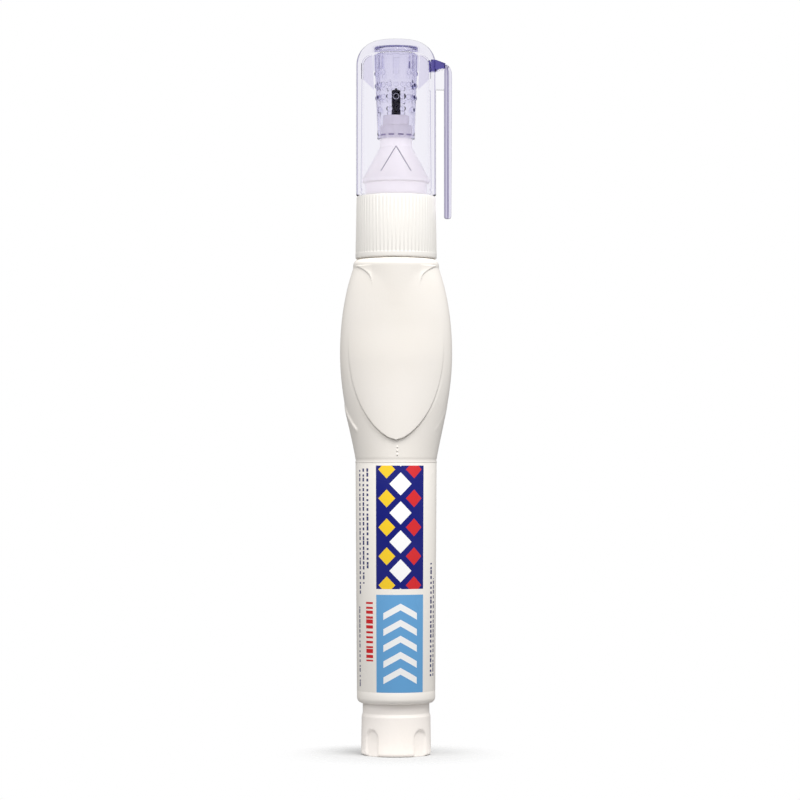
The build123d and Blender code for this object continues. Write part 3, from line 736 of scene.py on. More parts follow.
Z_TAIL = foot_of("barrel")
Z_NECK_TOP = top_of("barrel")
Z_LABEL = foot_of("label")
Z_LABEL_TOP = top_of("label")
Z_NOSE_TOP = top_of("nozzle")
Z_TIP = top_of("tip_tube")
Z_CROWN = top_of("cap_shell")
Z_SLEEVE = foot_of("cap_sleeve")
Z_CEILING = top_of("cap_sleeve")
Z_SHOULDER = Z_NECK_TOP - NECK_LENGTH
Z_WAIST = Z_LABEL_TOP + WAIST_BAND
Z_GRIP = Z_WAIST + GRIP_RISE_LENGTH
Z_GRIP_TOP = Z_SHOULDER - SHOULDER_HEIGHT
Z_COLLAR_TOP = Z_NECK_TOP + COLLAR_ABOVE_NECK
Z_CAP = Z_COLLAR_TOP + CAP_GAP
Z_NOSE = Z_NOSE_TOP - NOSE_LENGTH
Z_CONE = Z_NOSE - CONE_LENGTH
levels = (Z_TAIL, Z_LABEL, Z_WAIST, Z_GRIP, Z_SHOULDER, Z_CAP, Z_CROWN)
print("levels:", [round(z, 2) for z in levels])

# %% [markdown]
# ## Squeeze barrel
# The barrel is one soft moulding: a slim tapered tail for the label and an oval bulge for finger
# and thumb, with a leaf-shaped pad raised on the front and the back. It could be lofted from
# sections, but then the thin crease round the pad would need a cut. Here the radius of every ring
# is worked out point by point from the same rules as the CAD: an oval, a shoulder cone and a pad,
# whichever stands out most, with a fine groove along the pad's edge.

# %% Rules of the barrel's surface
TAIL_RADIUS = 7.65
WAIST_RADIUS = 7.95
GRIP_HALF_WIDTH = 11.0
GRIP_HALF_DEPTH = 8.3
GRIP_TOP_HALF_WIDTH = 8.35
GRIP_TOP_HALF_DEPTH = 8.25
GRIP_FALL_ROUNDNESS = 0.65
GRIP_RISE_SOFTNESS = 1.15
SHOULDER_RADIUS = 8.43
SHOULDER_TAPER = 0.2
SHOULDER_SKIRT = 9.3
SHOULDER_BAND = 1.5
SHOULDER_BLEND = 0.06
PAD_HALF_WIDTH = 9.25
PAD_POINT = Z_WAIST + 3.8
PAD_WIDEST = Z_GRIP + 1.5
PAD_START = (PAD_POINT - 0.15, PAD_POINT + 0.1)
PAD_FALL = (Z_GRIP - 2, Z_GRIP + 6)
PAD_CURVE = 0.63
PAD_POINTED = 4.0
PAD_PROUD_LOW = 0.40
PAD_PROUD_MIDDLE = 0.12
PAD_EDGE = 0.34
CREASE_DEPTH = 0.12
CREASE_WIDTH = 0.22
CREASE_FADE = (Z_GRIP - 8.0, Z_GRIP + 2.0)
# The lines of the two steps, as (distance from the middle, height), and where each begins and ends.
CORNER_CREASE = (
    (4.3, 90.4), (4.85, 92.7), (5.1, 93.4), (5.5, 93.9), (6.3, 94.55), (7.4, 95.2), (8.45, 95.35)
)
CORNER_ENDS = ((4.45, 5.0), (7.2, 8.2))
CORNER_LEAN = 0.75
CORNER_EDGE = 0.08
CORNER_STEP = 0.16
CORNER_REACH = 1.0
FLANK_RIM = (
    (6.0, 60.0), (6.6, 61.6), (7.6, 63.6), (8.3, 64.6), (9.2, 66.2), (10.1, 68.5), (10.6, 70.5)
)
RIM_ENDS = ((7.3, 7.7), (9.6, 10.4))
RIM_LEAN = 0.45
RIM_EDGE = 0.16
RIM_REACH = 0.6
RIM_STEP = 0.32
RIM_STEP_RIGHT = 0.05


def smooth_step(value, low, high):
    """0 below low, 1 above high and a smooth rise between."""
    share = np.clip((value - low) / (high - low), 0, 1)
    return share * share * (3 - 2 * share)


def between(value, rise, fall):
    """A smooth rise over one span and a smooth fall over another."""
    return smooth_step(value, *rise) * (1 - smooth_step(value, *fall))


def ledge(distance, edge, reach):
    """A soft step at a line, which dies away beyond it."""
    return smooth_step(distance, -edge, edge) * np.exp(-np.maximum(distance, 0) / reach)


def oval_radius(z, angle):
    """Radius of the oval grip about the axis."""
    width, depth = grip_section(z)
    return width * depth / np.hypot(depth * np.cos(angle), width * np.sin(angle))


def grip_section(z):
    """Half width and half depth of the oval grip at a height."""
    if z <= Z_GRIP:
        rise = max(0.0, (z - Z_WAIST) / (Z_GRIP - Z_WAIST))
        wide = sin(rise * pi / 2) ** GRIP_RISE_SOFTNESS
        return (WAIST_RADIUS + (GRIP_HALF_WIDTH - WAIST_RADIUS) * wide,
                WAIST_RADIUS + (GRIP_HALF_DEPTH - WAIST_RADIUS) * rise**2 * (3 - 2 * rise))
    fall = min(1.0, (z - Z_GRIP) / (Z_GRIP_TOP - Z_GRIP))
    lowest = (1 - GRIP_FALL_ROUNDNESS**2) ** 0.5
    wide = ((1 - (GRIP_FALL_ROUNDNESS * fall) ** 2) ** 0.5 - lowest) / (1 - lowest)
    return (GRIP_TOP_HALF_WIDTH + (GRIP_HALF_WIDTH - GRIP_TOP_HALF_WIDTH) * wide,
            GRIP_HALF_DEPTH + (GRIP_TOP_HALF_DEPTH - GRIP_HALF_DEPTH) * fall**2)


def shoulder_cone(z):
    """Radius of the tapered shoulder that shows through the top of the grip."""
    low = Z_SHOULDER - SHOULDER_SKIRT
    share = (z - low) / (SHOULDER_SKIRT - SHOULDER_BAND)
    return SHOULDER_RADIUS - SHOULDER_TAPER * (1 - min(1.0, share)) if share > 0 else 0.0


def leaf_half_width(z):
    """Half width of the pad's leaf outline at a height, below the widest place of the grip."""
    share = np.clip((z - PAD_POINT) / (PAD_WIDEST - PAD_POINT), 0, 1)
    return PAD_HALF_WIDTH * sin(min(share**PAD_CURVE, share * PAD_POINTED) * pi / 2)


def grip_radius(z, angle):
    """Radius of the barrel's skin about the axis at a height in the grip."""
    oval = oval_radius(z, angle)
    cone = shoulder_cone(z)
    radius = (oval + cone + np.hypot(oval - cone, SHOULDER_BLEND)) / 2
    side = np.abs(radius * np.cos(angle))
    if z > PAD_POINT - 1:
        inside = leaf_half_width(z) - side
        flatten = smooth_step(z, PAD_POINT, PAD_FALL[0])
        proud = PAD_PROUD_LOW + (PAD_PROUD_MIDDLE - PAD_PROUD_LOW) * flatten
        proud = proud * (1 - smooth_step(z, *PAD_FALL))
        edge = smooth_step(inside, -PAD_EDGE / 2, PAD_EDGE / 2)
        groove = np.exp(-(((inside + PAD_EDGE / 2) / CREASE_WIDTH) ** 2))
        fade = 1 - smooth_step(z, *CREASE_FADE)
        raised = (proud * edge - CREASE_DEPTH * groove * fade) * smooth_step(z, *PAD_START)
        radius = radius + raised
    crease_x, crease_z = np.transpose(CORNER_CREASE)
    above = (z - np.interp(side, crease_x, crease_z)) * CORNER_LEAN
    step = ledge(above, CORNER_EDGE, CORNER_REACH)
    radius = radius + CORNER_STEP * step * between(side, *CORNER_ENDS)
    rim_x, rim_z = np.transpose(FLANK_RIM)
    below = (np.interp(side, rim_x, rim_z) - z) * RIM_LEAN
    rim = ledge(below, RIM_EDGE, RIM_REACH)
    ends = between(side, *RIM_ENDS) * (z < Z_GRIP)
    return radius + np.where(np.cos(angle) < 0, RIM_STEP, RIM_STEP_RIGHT) * rim * ends


print("grip at its widest:", [round(v, 2) for v in grip_section(Z_GRIP)])

# %% Make the barrel
BARREL_COLUMNS = 360
# The grip's rows are close where the pad's point and the shoulder need them.
GRIP_ROW = 0.24
GRIP_ROW_COARSE = 0.4
GRIP_ROW_FINE = 0.1
FINE_FROM = PAD_POINT - 0.5
FINE_TO = PAD_POINT + 3.5
EVEN_TO = Z_GRIP + 3
TOP_FROM = Z_SHOULDER - 5
BORE_TOP = Z_GRIP_TOP - 4
BORE_RINGS = 8
LABEL_EDGE = 0.05
TAIL_ROUND = 1.1
LABEL_RECESS = 0.22
BAND_LEAN = 0.06
NECK_RADIUS = 5.6
NECK_BORE = 4.4
BARREL_WALL = 1.0
SPIGOT_RADIUS = 5.6
SPIGOT_TOP = Z_TAIL + 7.5


def stretch_radius(z):
    """Radius of the tapered label stretch at a height."""
    return TAIL_RADIUS + (WAIST_RADIUS - TAIL_RADIUS) * (z - Z_TAIL) / (Z_WAIST - Z_TAIL)


tail = round_corners([
    (SPIGOT_RADIUS, Z_TAIL, 0),
    (TAIL_RADIUS, Z_TAIL, TAIL_ROUND),
    (stretch_radius(Z_LABEL), Z_LABEL, LABEL_EDGE),
    (stretch_radius(Z_LABEL) - LABEL_RECESS, Z_LABEL, LABEL_EDGE),
    (stretch_radius(Z_LABEL_TOP) - LABEL_RECESS, Z_LABEL_TOP, LABEL_EDGE),
    (stretch_radius(Z_LABEL_TOP) + BAND_LEAN, Z_LABEL_TOP, LABEL_EDGE),
    (stretch_radius(Z_WAIST) - BAND_LEAN, Z_WAIST, 0),
])
neck = round_corners([
    (SHOULDER_RADIUS, Z_SHOULDER - SHOULDER_BAND, 0),
    (SHOULDER_RADIUS, Z_SHOULDER, SHOULDER_BAND),
    (NECK_RADIUS, Z_SHOULDER, 0.2),
    (NECK_RADIUS, Z_NECK_TOP, 0.3),
    (NECK_BORE, Z_NECK_TOP, 0.3),
    (NECK_BORE, Z_GRIP_TOP, 0),
], steps=8)
grip_rows = np.concatenate([
    np.arange(Z_WAIST + GRIP_ROW, FINE_FROM, GRIP_ROW_COARSE),
    np.arange(FINE_FROM, FINE_TO, GRIP_ROW_FINE),
    np.arange(FINE_TO, EVEN_TO, GRIP_ROW),
    np.arange(EVEN_TO, TOP_FROM, GRIP_ROW_COARSE),
    np.arange(TOP_FROM, Z_SHOULDER - SHOULDER_BAND, GRIP_ROW_FINE),
])
around = turns(BARREL_COLUMNS)
bore_low = stretch_radius(SPIGOT_TOP) - LABEL_RECESS - BARREL_WALL
barrel_rows = [*tail, *((grip_radius(z, around), z) for z in grip_rows), *neck]
for z in np.linspace(BORE_TOP, Z_WAIST, BORE_RINGS):
    barrel_rows.append((oval_radius(z, around) - BARREL_WALL, z))
barrel_rows.append((bore_low, SPIGOT_TOP + bore_low - SPIGOT_RADIUS))
barrel_rows.append((SPIGOT_RADIUS, SPIGOT_TOP))
barrel_rings = [ring(radius, z, BARREL_COLUMNS) for radius, z in barrel_rows]
barrel = make_piece("squeeze_barrel", *skin_rings(barrel_rings, closed=True), barrel_white)
stand_in(barrel, "pen", "barrel")

# %% [markdown]
# Below the point of the pad the mould has left three tiny pips, one above the other.

# %% Add the mould pips
PIP_RADIUS = 0.19
PIP_PITCH = 0.75
PIP_LOW = Z_WAIST + 1.0
PIP_ROWS = 3
PIP_SINK = 0.03
PIP_TURN = FRONT + 0.03

pips = ball("mould_pips", PIP_RADIUS, 12, 8)
pip_ring = WAIST_RADIUS - PIP_SINK
repeat_in_ring(pips, barrel_white, 1, pip_ring, PIP_TURN, PIP_ROWS, PIP_LOW, PIP_PITCH)
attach(pips, "pen")
print("pips:", len(pips.data.polygons), "faces")

# %% [markdown]
# ## Tail plug
# The plug is pushed into the tail. Its skirt has four flat flutes with round tops, for the fingers.
# A turned body with cut flutes would work; here the rings are flattened where a flute is, so the
# edge of each flute comes out softly rounded as on a moulding.

# %% Make the plug
PLUG_FOOT_RADIUS = 6.85
PLUG_SKIRT_TOP_RADIUS = 6.72
PLUG_WAIST_RADIUS = 6.52
PLUG_SKIRT_TOP = Z_TAIL - 2.4
PLUG_FOOT_ROUND = 0.6
PLUG_FLOOR = 2.2
PLUG_SPIGOT_WALL = 1.0
FLUTE_COUNT = 4
FLUTE_WIDTH = 3.6
FLUTE_HEIGHT = 5.3
FLUTE_DEPTH = 0.5
FLUTE_EDGE = 0.45
PLUG_COLUMNS = 320
PLUG_ROW = 0.25
SKIRT_ROUND = 0.5
SPIGOT_LEAD = 0.35
PRESS_GAP = 0.02
plug_top = top_of("base_plug")
spigot_outer = SPIGOT_RADIUS - PRESS_GAP
spigot_inner = SPIGOT_RADIUS - PLUG_SPIGOT_WALL

plug_outline = divide(round_corners([
    (0, 0, 0),
    (PLUG_FOOT_RADIUS, 0, PLUG_FOOT_ROUND),
    (PLUG_SKIRT_TOP_RADIUS, PLUG_SKIRT_TOP - 0.1, SKIRT_ROUND),
    (PLUG_WAIST_RADIUS, PLUG_SKIRT_TOP + 0.5, SKIRT_ROUND),
    (PLUG_WAIST_RADIUS, Z_TAIL, 0.05),
    (spigot_outer, Z_TAIL, 0),
    (spigot_outer, plug_top - 0.33, 0),
    (SPIGOT_RADIUS - SPIGOT_LEAD, plug_top, 0),
    (spigot_inner, plug_top, 0),
    (spigot_inner, PLUG_FLOOR, 0.4),
    (0, PLUG_FLOOR, 0),
]), PLUG_ROW)


def fluted(radius, z):
    """Radius of a ring of the plug's skirt, flattened inside the flutes."""
    step = 2 * pi / FLUTE_COUNT
    from_flute = (turns(PLUG_COLUMNS) + step) % step - step / 2
    across = radius * np.sin(from_flute)
    straight = FLUTE_HEIGHT - FLUTE_WIDTH / 2
    reach = np.hypot(across, max(0.0, z - straight))
    mask = 1 - smooth_step(reach, FLUTE_WIDTH / 2 - FLUTE_EDGE, FLUTE_WIDTH / 2)
    floor_radius = np.minimum(radius, (PLUG_FOOT_RADIUS - FLUTE_DEPTH) / np.cos(from_flute))
    return radius + (floor_radius - radius) * mask


plug_rings = []
for radius, z in plug_outline:
    on_skirt = radius > PLUG_FOOT_RADIUS - PLUG_FOOT_ROUND and z < PLUG_SKIRT_TOP
    plug_rings.append(ring(fluted(radius, z) if on_skirt else radius, z, PLUG_COLUMNS))
plug = make_piece("tail_plug", *skin_rings(plug_rings), plug_white)
stand_in(plug, "pen", "base_plug")

# %% [markdown]
# ## Nozzle
# The nozzle is one white moulding: a collar that hides the barrel's neck, a seat and a lip on which
# the cap snaps, a cone with two fine lines and a stepped nose. The lines are only 0.15 mm deep, so
# they are pressed into the rings of the cone, and painted shade darkens them.

# %% Make the nozzle
COLLAR_RADIUS = 7.97
COLLAR_DRAFT = 0.2
RIB_DEPTH = 0.045
SEAT_RADIUS = 6.05
LIP_RADIUS = 6.6
NOSE_RADIUS = 3.15
NOSE_TIP_RADIUS = 2.6
CHAMBER_RADIUS = 2.2
TIP_HOLE_RADIUS = 0.9
NOSE_STEP = Z_NOSE_TOP - 2.0
SOCKET_TOP = Z_NECK_TOP + 0.1
SKIRT_LENGTH = 6.4
SKIRT_LEAD = 0.55
SKIRT_FOOT = SOCKET_TOP - SKIRT_LENGTH
SEAT_TOP = Z_CONE - 0.8
LIP_FOOT = Z_CONE - 0.55
RIBS_FROM = Z_SHOULDER + 1.2
TIP_SHANK = foot_of("tip_tube")
LINE_DROP = 5.2
LINE_SPREAD = 3.0
LINE_DEPTH = 0.15
LINE_WIDTH = 0.09
LINE_FADE = 0.2
NOZZLE_COLUMNS = 448
NOZZLE_ROW = 0.7
CONE_ROW = 0.12
collar_core = COLLAR_RADIUS - RIB_DEPTH

nozzle_outline = round_corners([
    (CHAMBER_RADIUS, SKIRT_FOOT, 0),
    (NECK_BORE - SKIRT_LEAD, SKIRT_FOOT, 0),
    (NECK_BORE - PRESS_GAP, SKIRT_FOOT + SKIRT_LEAD, 0),
    (NECK_BORE - PRESS_GAP, SOCKET_TOP, 0),
    (NECK_RADIUS + PRESS_GAP, SOCKET_TOP, 0),
    (NECK_RADIUS + PRESS_GAP, Z_SHOULDER, 0.1),
    (COLLAR_RADIUS, Z_SHOULDER, 0.3),
    (COLLAR_RADIUS, Z_SHOULDER + 1.0, 0.1),
    (collar_core, RIBS_FROM, 0.05),
    (collar_core - COLLAR_DRAFT, Z_COLLAR_TOP, 0.2),
    (SEAT_RADIUS, Z_COLLAR_TOP, 0.2),
    (SEAT_RADIUS, SEAT_TOP, 0.1),
    (LIP_RADIUS, LIP_FOOT, 0.1),
    (LIP_RADIUS, Z_CONE, 0.4),
    (NOSE_RADIUS, Z_NOSE, 0.3),
    (NOSE_RADIUS, NOSE_STEP, 0.15),
    (NOSE_TIP_RADIUS, NOSE_STEP, 0.1),
    (NOSE_TIP_RADIUS, Z_NOSE_TOP, 0.15),
    (TIP_HOLE_RADIUS, Z_NOSE_TOP, 0),
    (TIP_HOLE_RADIUS, TIP_SHANK, 0),
    (CHAMBER_RADIUS, TIP_SHANK, 0),
])
on_cone = [z > Z_CONE - 0.01 and radius > NOSE_RADIUS for radius, z in nozzle_outline]
cone_from = on_cone.index(True)
cone_to = next(i for i, (radius, z) in enumerate(nozzle_outline) if z > Z_NOSE)
nozzle_outline = (
    divide(nozzle_outline[:cone_from], NOZZLE_ROW)
    + divide(nozzle_outline[cone_from:cone_to], CONE_ROW)
    + divide(nozzle_outline[cone_to:], NOZZLE_ROW)
)


def in_lines(radius, z):
    """How far each point of a ring lies in the two fine lines of the cone, 0 to 1."""
    if not (Z_CONE < z < Z_NOSE and radius >= NOSE_RADIUS):
        return np.zeros(NOZZLE_COLUMNS)
    spread = LINE_SPREAD * (Z_NOSE - z) / LINE_DROP
    inside = smooth_step(z, Z_NOSE - LINE_DROP, Z_NOSE - LINE_DROP + LINE_FADE)
    away = np.abs(np.abs(radius * np.cos(turns(NOZZLE_COLUMNS))) - spread)
    return inside * np.exp(-((away / LINE_WIDTH) ** 2))


line_shares = [in_lines(radius, z) for radius, z in nozzle_outline]
nozzle_rings = [
    ring(radius - LINE_DEPTH * share, z, NOZZLE_COLUMNS)
    for (radius, z), share in zip(nozzle_outline, line_shares)
]
nozzle = make_piece("nozzle_body", *skin_rings(nozzle_rings, closed=True), nozzle_white)
# The lines' shares also darken the cone's colour: painted shade in the grooves.
store_lines(nozzle, np.concatenate(line_shares))
stand_in(nozzle, "pen", "nozzle")

# %% [markdown]
# The collar's ribs are one rounded bar, made once and repeated sixty-four times by the ring tree.


# %% Make the collar's ribs
def rounded_bar(name, width, depth, foot, top, lean, rounding, material):
    """A bar on +X with rounded long edges that leans in towards its top, in millimetres."""
    builder = bmesh.new()
    corners = []
    for z, shift in ((foot, 0.0), (top, -lean)):
        corners += [(shift - depth, -width / 2, z), (shift, -width / 2, z),
                    (shift, width / 2, z), (shift - depth, width / 2, z)]
    points = [builder.verts.new(Vector(corner) * MM) for corner in corners]
    for quad in BAR_QUADS:
        builder.faces.new([points[i] for i in quad])
    inmost = -(depth * 0.5 + lean) * MM
    outer = [e for e in builder.edges if all(v.co.x > inmost for v in e.verts)]
    bevel(builder, outer, rounding)
    return built(name, builder, material, sharp=50)


BAR_QUADS = (
    (3, 2, 1, 0), (4, 5, 6, 7), (0, 1, 5, 4), (1, 2, 6, 5), (2, 3, 7, 6), (3, 0, 4, 7)
)
RIB_COUNT = 64
RIB_WIDTH = 0.38
RIB_BODY = 0.35
RIB_ROUND = 0.12
rib_ends = (Z_SHOULDER + 0.9, Z_COLLAR_TOP - 0.12)
ribs = rounded_bar(
    "collar_ribs", RIB_WIDTH, RIB_BODY, *rib_ends, COLLAR_DRAFT, RIB_ROUND, nozzle_white
)
repeat_in_ring(ribs, nozzle_white, RIB_COUNT, COLLAR_RADIUS, FRONT)
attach(ribs, "pen")
print("ribs:", RIB_COUNT, "copies,", len(ribs.data.polygons), "faces")

# %% [markdown]
# ## Metal tip and needle
# The tip is a drawn tube with a small flange, and the needle that closes it stands a little out of
# its end. Both are turned pieces with every edge slightly broken, so that they catch the light.

# %% Make the tip and the needle
TIP_RADIUS = 0.88
TIP_FLANGE_RADIUS = 1.08
TIP_ORIFICE = 0.34
TIP_BORE = 0.62
PIN_RADIUS = 0.48
PIN_TIP_RADIUS = 0.28
PIN_HEAD_RADIUS = 1.6
PIN_FOOT = foot_of("valve_needle")
PIN_TOP = top_of("valve_needle")
PIN_HEAD_TOP = TIP_SHANK - 1.2
PIN_HEAD_FOOT = PIN_HEAD_TOP - 0.9
TIP_SEAT = Z_TIP - 1.6

tip_outline = round_corners([
    (TIP_BORE, TIP_SHANK, 0),
    (TIP_RADIUS, TIP_SHANK, 0),
    (TIP_RADIUS, Z_NOSE_TOP, 0),
    (TIP_FLANGE_RADIUS, Z_NOSE_TOP, 0.04),
    (TIP_FLANGE_RADIUS, Z_NOSE_TOP + 0.18, 0.06),
    (TIP_RADIUS, Z_NOSE_TOP + 0.35, 0.06),
    (TIP_RADIUS, Z_TIP, 0.2),
    (TIP_ORIFICE, Z_TIP, 0.06),
    (TIP_ORIFICE, TIP_SEAT + 0.5, 0),
    (TIP_BORE, TIP_SEAT, 0),
])
tip = turned("metal_tip", tip_outline, tip_chrome, columns=64)
stand_in(tip, "pen", "tip_tube")
pin_outline = round_corners([
    (0, PIN_FOOT, 0),
    (PIN_RADIUS, PIN_FOOT, 0.08),
    (PIN_RADIUS, PIN_HEAD_FOOT, 0),
    (PIN_HEAD_RADIUS, PIN_HEAD_FOOT, 0.08),
    (PIN_HEAD_RADIUS, PIN_HEAD_TOP, 0.08),
    (PIN_RADIUS, PIN_HEAD_TOP, 0),
    (PIN_RADIUS, TIP_SEAT - 0.1, 0),
    (PIN_TIP_RADIUS, TIP_SEAT + 0.4, 0),
    (PIN_TIP_RADIUS, PIN_TOP, 0.2),
    (0, PIN_TOP, 0),
])
pin = turned("valve_pin", pin_outline, pin_steel, columns=48, closed=False)
stand_in(pin, "needle", "valve_needle")

# %% [markdown]
# ## Valve spring
# A small coil spring behind the needle's head keeps the valve shut. It is a round wire swept along
# a spiral by a tree of its own. A push on the needle shortens it.

# %% Make the spring
SPRING_RADIUS = 1.15
WIRE_RADIUS = 0.15
SPRING_TURNS = 8.0
SPRING_GAP = 0.02
spring_foot = foot_of("valve_spring")
spring_length = top_of("valve_spring") - spring_foot


def coil_tree():
    """A tree that sweeps a round wire along a spiral about the Z axis."""
    tree, given = new_tree("coil", [], ["Turns", "Coil Radius", "Wire Radius", "Foot", "Height"])
    turn = {"Resolution": 24, "Rotations": given["Turns"], "Start Radius": given["Coil Radius"],
            "End Radius": given["Coil Radius"], "Height": given["Height"]}
    path = add_node(tree, "GeometryNodeCurveSpiral", turn).outputs[0]
    section = {"Resolution": 10, "Radius": given["Wire Radius"]}
    wire = add_node(tree, "GeometryNodeCurvePrimitiveCircle", section).outputs[0]
    sweep = {"Curve": path, "Profile Curve": wire, "Fill Caps": True}
    coil = add_node(tree, "GeometryNodeCurveToMesh", sweep).outputs[0]
    lift = add_node(tree, "ShaderNodeCombineXYZ", {2: given["Foot"]}).outputs[0]
    raised = add_node(tree, "GeometryNodeTransform", {"Geometry": coil, "Translation": lift})
    return end_tree(tree, raised.outputs[0], given)


spring = add_object("valve_coil", bpy.data.meshes.new("valve_coil"))
coil_end = WIRE_RADIUS + SPRING_GAP
run_tree(spring, coil_tree(), wire_steel, **{
    "Turns": SPRING_TURNS, "Coil Radius": SPRING_RADIUS * MM, "Wire Radius": WIRE_RADIUS * MM,
    "Foot": (spring_foot + coil_end) * MM, "Height": (spring_length - 2 * coil_end) * MM})
face_outward(spring.data)
soften(spring.data, 50)
stand_in(spring, "pen", "valve_spring")
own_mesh(spring)

# %% [markdown]
# ## Wrap label
# The label is a thin film wrapped round the tail with a narrow seam at the back. Its own UV map
# runs once round and once up, so the print can be laid out in millimetres on the flat film.

# %% Make the label
LABEL_THICKNESS = 0.12
LABEL_SEAM = 1.0
LABEL_COLUMNS = 220
FILM_EDGE = 0.03

label_low = stretch_radius(Z_LABEL)
label_high = stretch_radius(Z_LABEL_TOP)
label_span = Z_LABEL_TOP - Z_LABEL
label_section = round_corners([
    (label_low - LABEL_THICKNESS, Z_LABEL, 0),
    (label_low, Z_LABEL, FILM_EDGE),
    (label_high, Z_LABEL_TOP, FILM_EDGE),
    (label_high - LABEL_THICKNESS, Z_LABEL_TOP, 0),
], steps=3)
seam_half = LABEL_SEAM / 2 / label_low
label_strips = []
for turn in np.linspace(-pi + seam_half, pi - seam_half, LABEL_COLUMNS):
    label_strips.append(np.array([(r * sin(turn), -r * cos(turn), z) for r, z in label_section]))
label_points, label_faces = skin_rings(label_strips)
close_ends(label_points, label_faces, len(label_section))
print("film of", len(label_faces), "faces")

# %% [markdown]
# The print is two blue panels on white film with plain lozenges, chevrons and dashes. Everything is
# worked out from two lengths, `along` round the film and `up` from its foot, both in millimetres.

# %% Lay out the print
PANEL_MIDDLE = 0.88
PANEL_HALF = 4.9
LIGHT_PANEL = (0.04, 18.95)
DARK_PANEL = (20.05, 43.95)
LOZENGE_WIDTH = 5.4
LOZENGE_HEIGHT = 5.6
LOZENGE_FOOT = DARK_PANEL[0] + 0.75
CHEVRON_PITCH = 3.1
CHEVRON_SHARE = 0.42
CHEVRON_SHIFT = 0.15
CHEVRON_HALF = 3.4
CHEVRON_SLOPE = 0.55
CHEVRON_CELLS = (1.0, 6.0)
DASH_CELL = 0.95
DASH_SHARES = (0.35, 0.92)

label_print, ink, film = blank_material("label_print")


def do(operation, *values):
    """One sum of the label's print."""
    return calc(ink, operation, *values)


def both(first, second):
    """1 where two masks are 1."""
    return do("MULTIPLY", first, second)


def within(value, low, high):
    """1 where a value lies between two limits, else 0."""
    return both(do("GREATER_THAN", value, low), do("LESS_THAN", value, high))


wrap = add_node(ink, "ShaderNodeUVMap", uv_map="wrap").outputs[0]
flat = add_node(ink, "ShaderNodeSeparateXYZ", {0: wrap}).outputs
along = do("MULTIPLY", do("SUBTRACT", flat[0], 0.5), 2 * pi * (label_low + label_high) / 2)
up = do("MULTIPLY", flat[1], label_span)
across = do("SUBTRACT", along, PANEL_MIDDLE)
in_column = within(across, -PANEL_HALF, PANEL_HALF)
dark_panel = both(in_column, within(up, *DARK_PANEL))
light_panel = both(in_column, within(up, *LIGHT_PANEL))
print("panels of the print at", LIGHT_PANEL, DARK_PANEL)

# %% [markdown]
# Each motif is a mask. A row of dashes takes the length of each dash from white noise with a fixed
# seed, so it comes out the same every time.


# %% Draw the motifs
def lozenges(column, foot, size):
    """Mask of a column of lozenges, given its place and the size of one as a share of its cell."""
    side = do("ABSOLUTE", do("SUBTRACT", across, column))
    cell = do("DIVIDE", do("SUBTRACT", up, foot), LOZENGE_HEIGHT)
    tall = do("ABSOLUTE", do("SUBTRACT", do("FRACT", cell), 0.5))
    reach = do("ADD", do("DIVIDE", side, LOZENGE_WIDTH / 2), do("MULTIPLY", tall, 2.0))
    return both(do("LESS_THAN", reach, size), dark_panel)


def chevrons():
    """Mask of the whole chevrons that the light panel has room for."""
    lifted = do("ADD", up, do("MULTIPLY", do("ABSOLUTE", across), CHEVRON_SLOPE))
    cell = do("SUBTRACT", do("DIVIDE", lifted, CHEVRON_PITCH), CHEVRON_SHIFT)
    band = do("LESS_THAN", do("FRACT", cell), CHEVRON_SHARE)
    wide = both(band, within(across, -CHEVRON_HALF, CHEVRON_HALF))
    return both(both(wide, within(cell, *CHEVRON_CELLS)), light_panel)


def dashes(place, half_width, low, high, seed):
    """Mask of one upright row of dashes of uneven length."""
    cell = do("DIVIDE", up, DASH_CELL)
    number = {"W": do("ADD", do("FLOOR", cell), seed)}
    drawn = add_node(ink, "ShaderNodeTexWhiteNoise", number, noise_dimensions="1D").outputs[0]
    printed = do("LESS_THAN", do("FRACT", cell), remap(ink, drawn, 0.0, 1.0, *DASH_SHARES))
    row = both(within(along, place - half_width, place + half_width), within(up, low, high))
    return both(printed, row)


print("motifs: lozenges, chevrons and dashes")

# %% Ink the label
DARK_BLUE = srgb(13, 23, 120)
LIGHT_BLUE = srgb(106, 168, 219)
FILM_WHITE = srgb(246, 241, 234)
PRINT_WHITE = srgb(250, 250, 250)
PRINT_RED = srgb(214, 40, 44)
PRINT_YELLOW = srgb(246, 205, 40)
PRINT_INK = srgb(58, 60, 110)
FILM_GLOSS = (0.22, 0.32)
FILM_GRAIN = 0.000006
FILM_WEAR = 0.015
FILM_SHINE = 0.25
WHITE_SIZE = 0.80
SIDE_SIZE = 0.62

side_column = LOZENGE_WIDTH / 2
side_foot = LOZENGE_FOOT + LOZENGE_HEIGHT / 2
inked = [
    (dark_panel, DARK_BLUE),
    (light_panel, LIGHT_BLUE),
    (lozenges(0.0, LOZENGE_FOOT, WHITE_SIZE), PRINT_WHITE),
    (lozenges(-side_column, side_foot, SIDE_SIZE), PRINT_YELLOW),
    (lozenges(side_column, side_foot, SIDE_SIZE), PRINT_RED),
    (chevrons(), PRINT_WHITE),
    (dashes(-8.6, 0.25, 19.0, 43.6, 11.0), PRINT_INK),
    (dashes(-7.3, 0.25, 21.0, 43.6, 47.0), PRINT_INK),
    (dashes(-6.1, 0.25, 24.0, 43.6, 83.0), PRINT_INK),
    (dashes(-5.7, 0.9, 6.0, 17.5, 29.0), PRINT_RED),
    (dashes(-8.9, 0.22, 1.0, 16.5, 61.0), PRINT_INK),
    (dashes(8.3, 0.30, 3.0, 25.0, 19.0), PRINT_INK),
    (dashes(9.4, 0.25, 3.0, 22.0, 73.0), PRINT_INK),
]
colour = FILM_WHITE
for mask, tone in inked:
    colour = blend(ink, mask, colour, tone)
film_skin = add_skin(ink, film, FILM_GLOSS, FILM_GRAIN)
worn = remap(ink, film_skin["Cloud"], *CLOUD_SPAN, 0.0, FILM_WEAR)
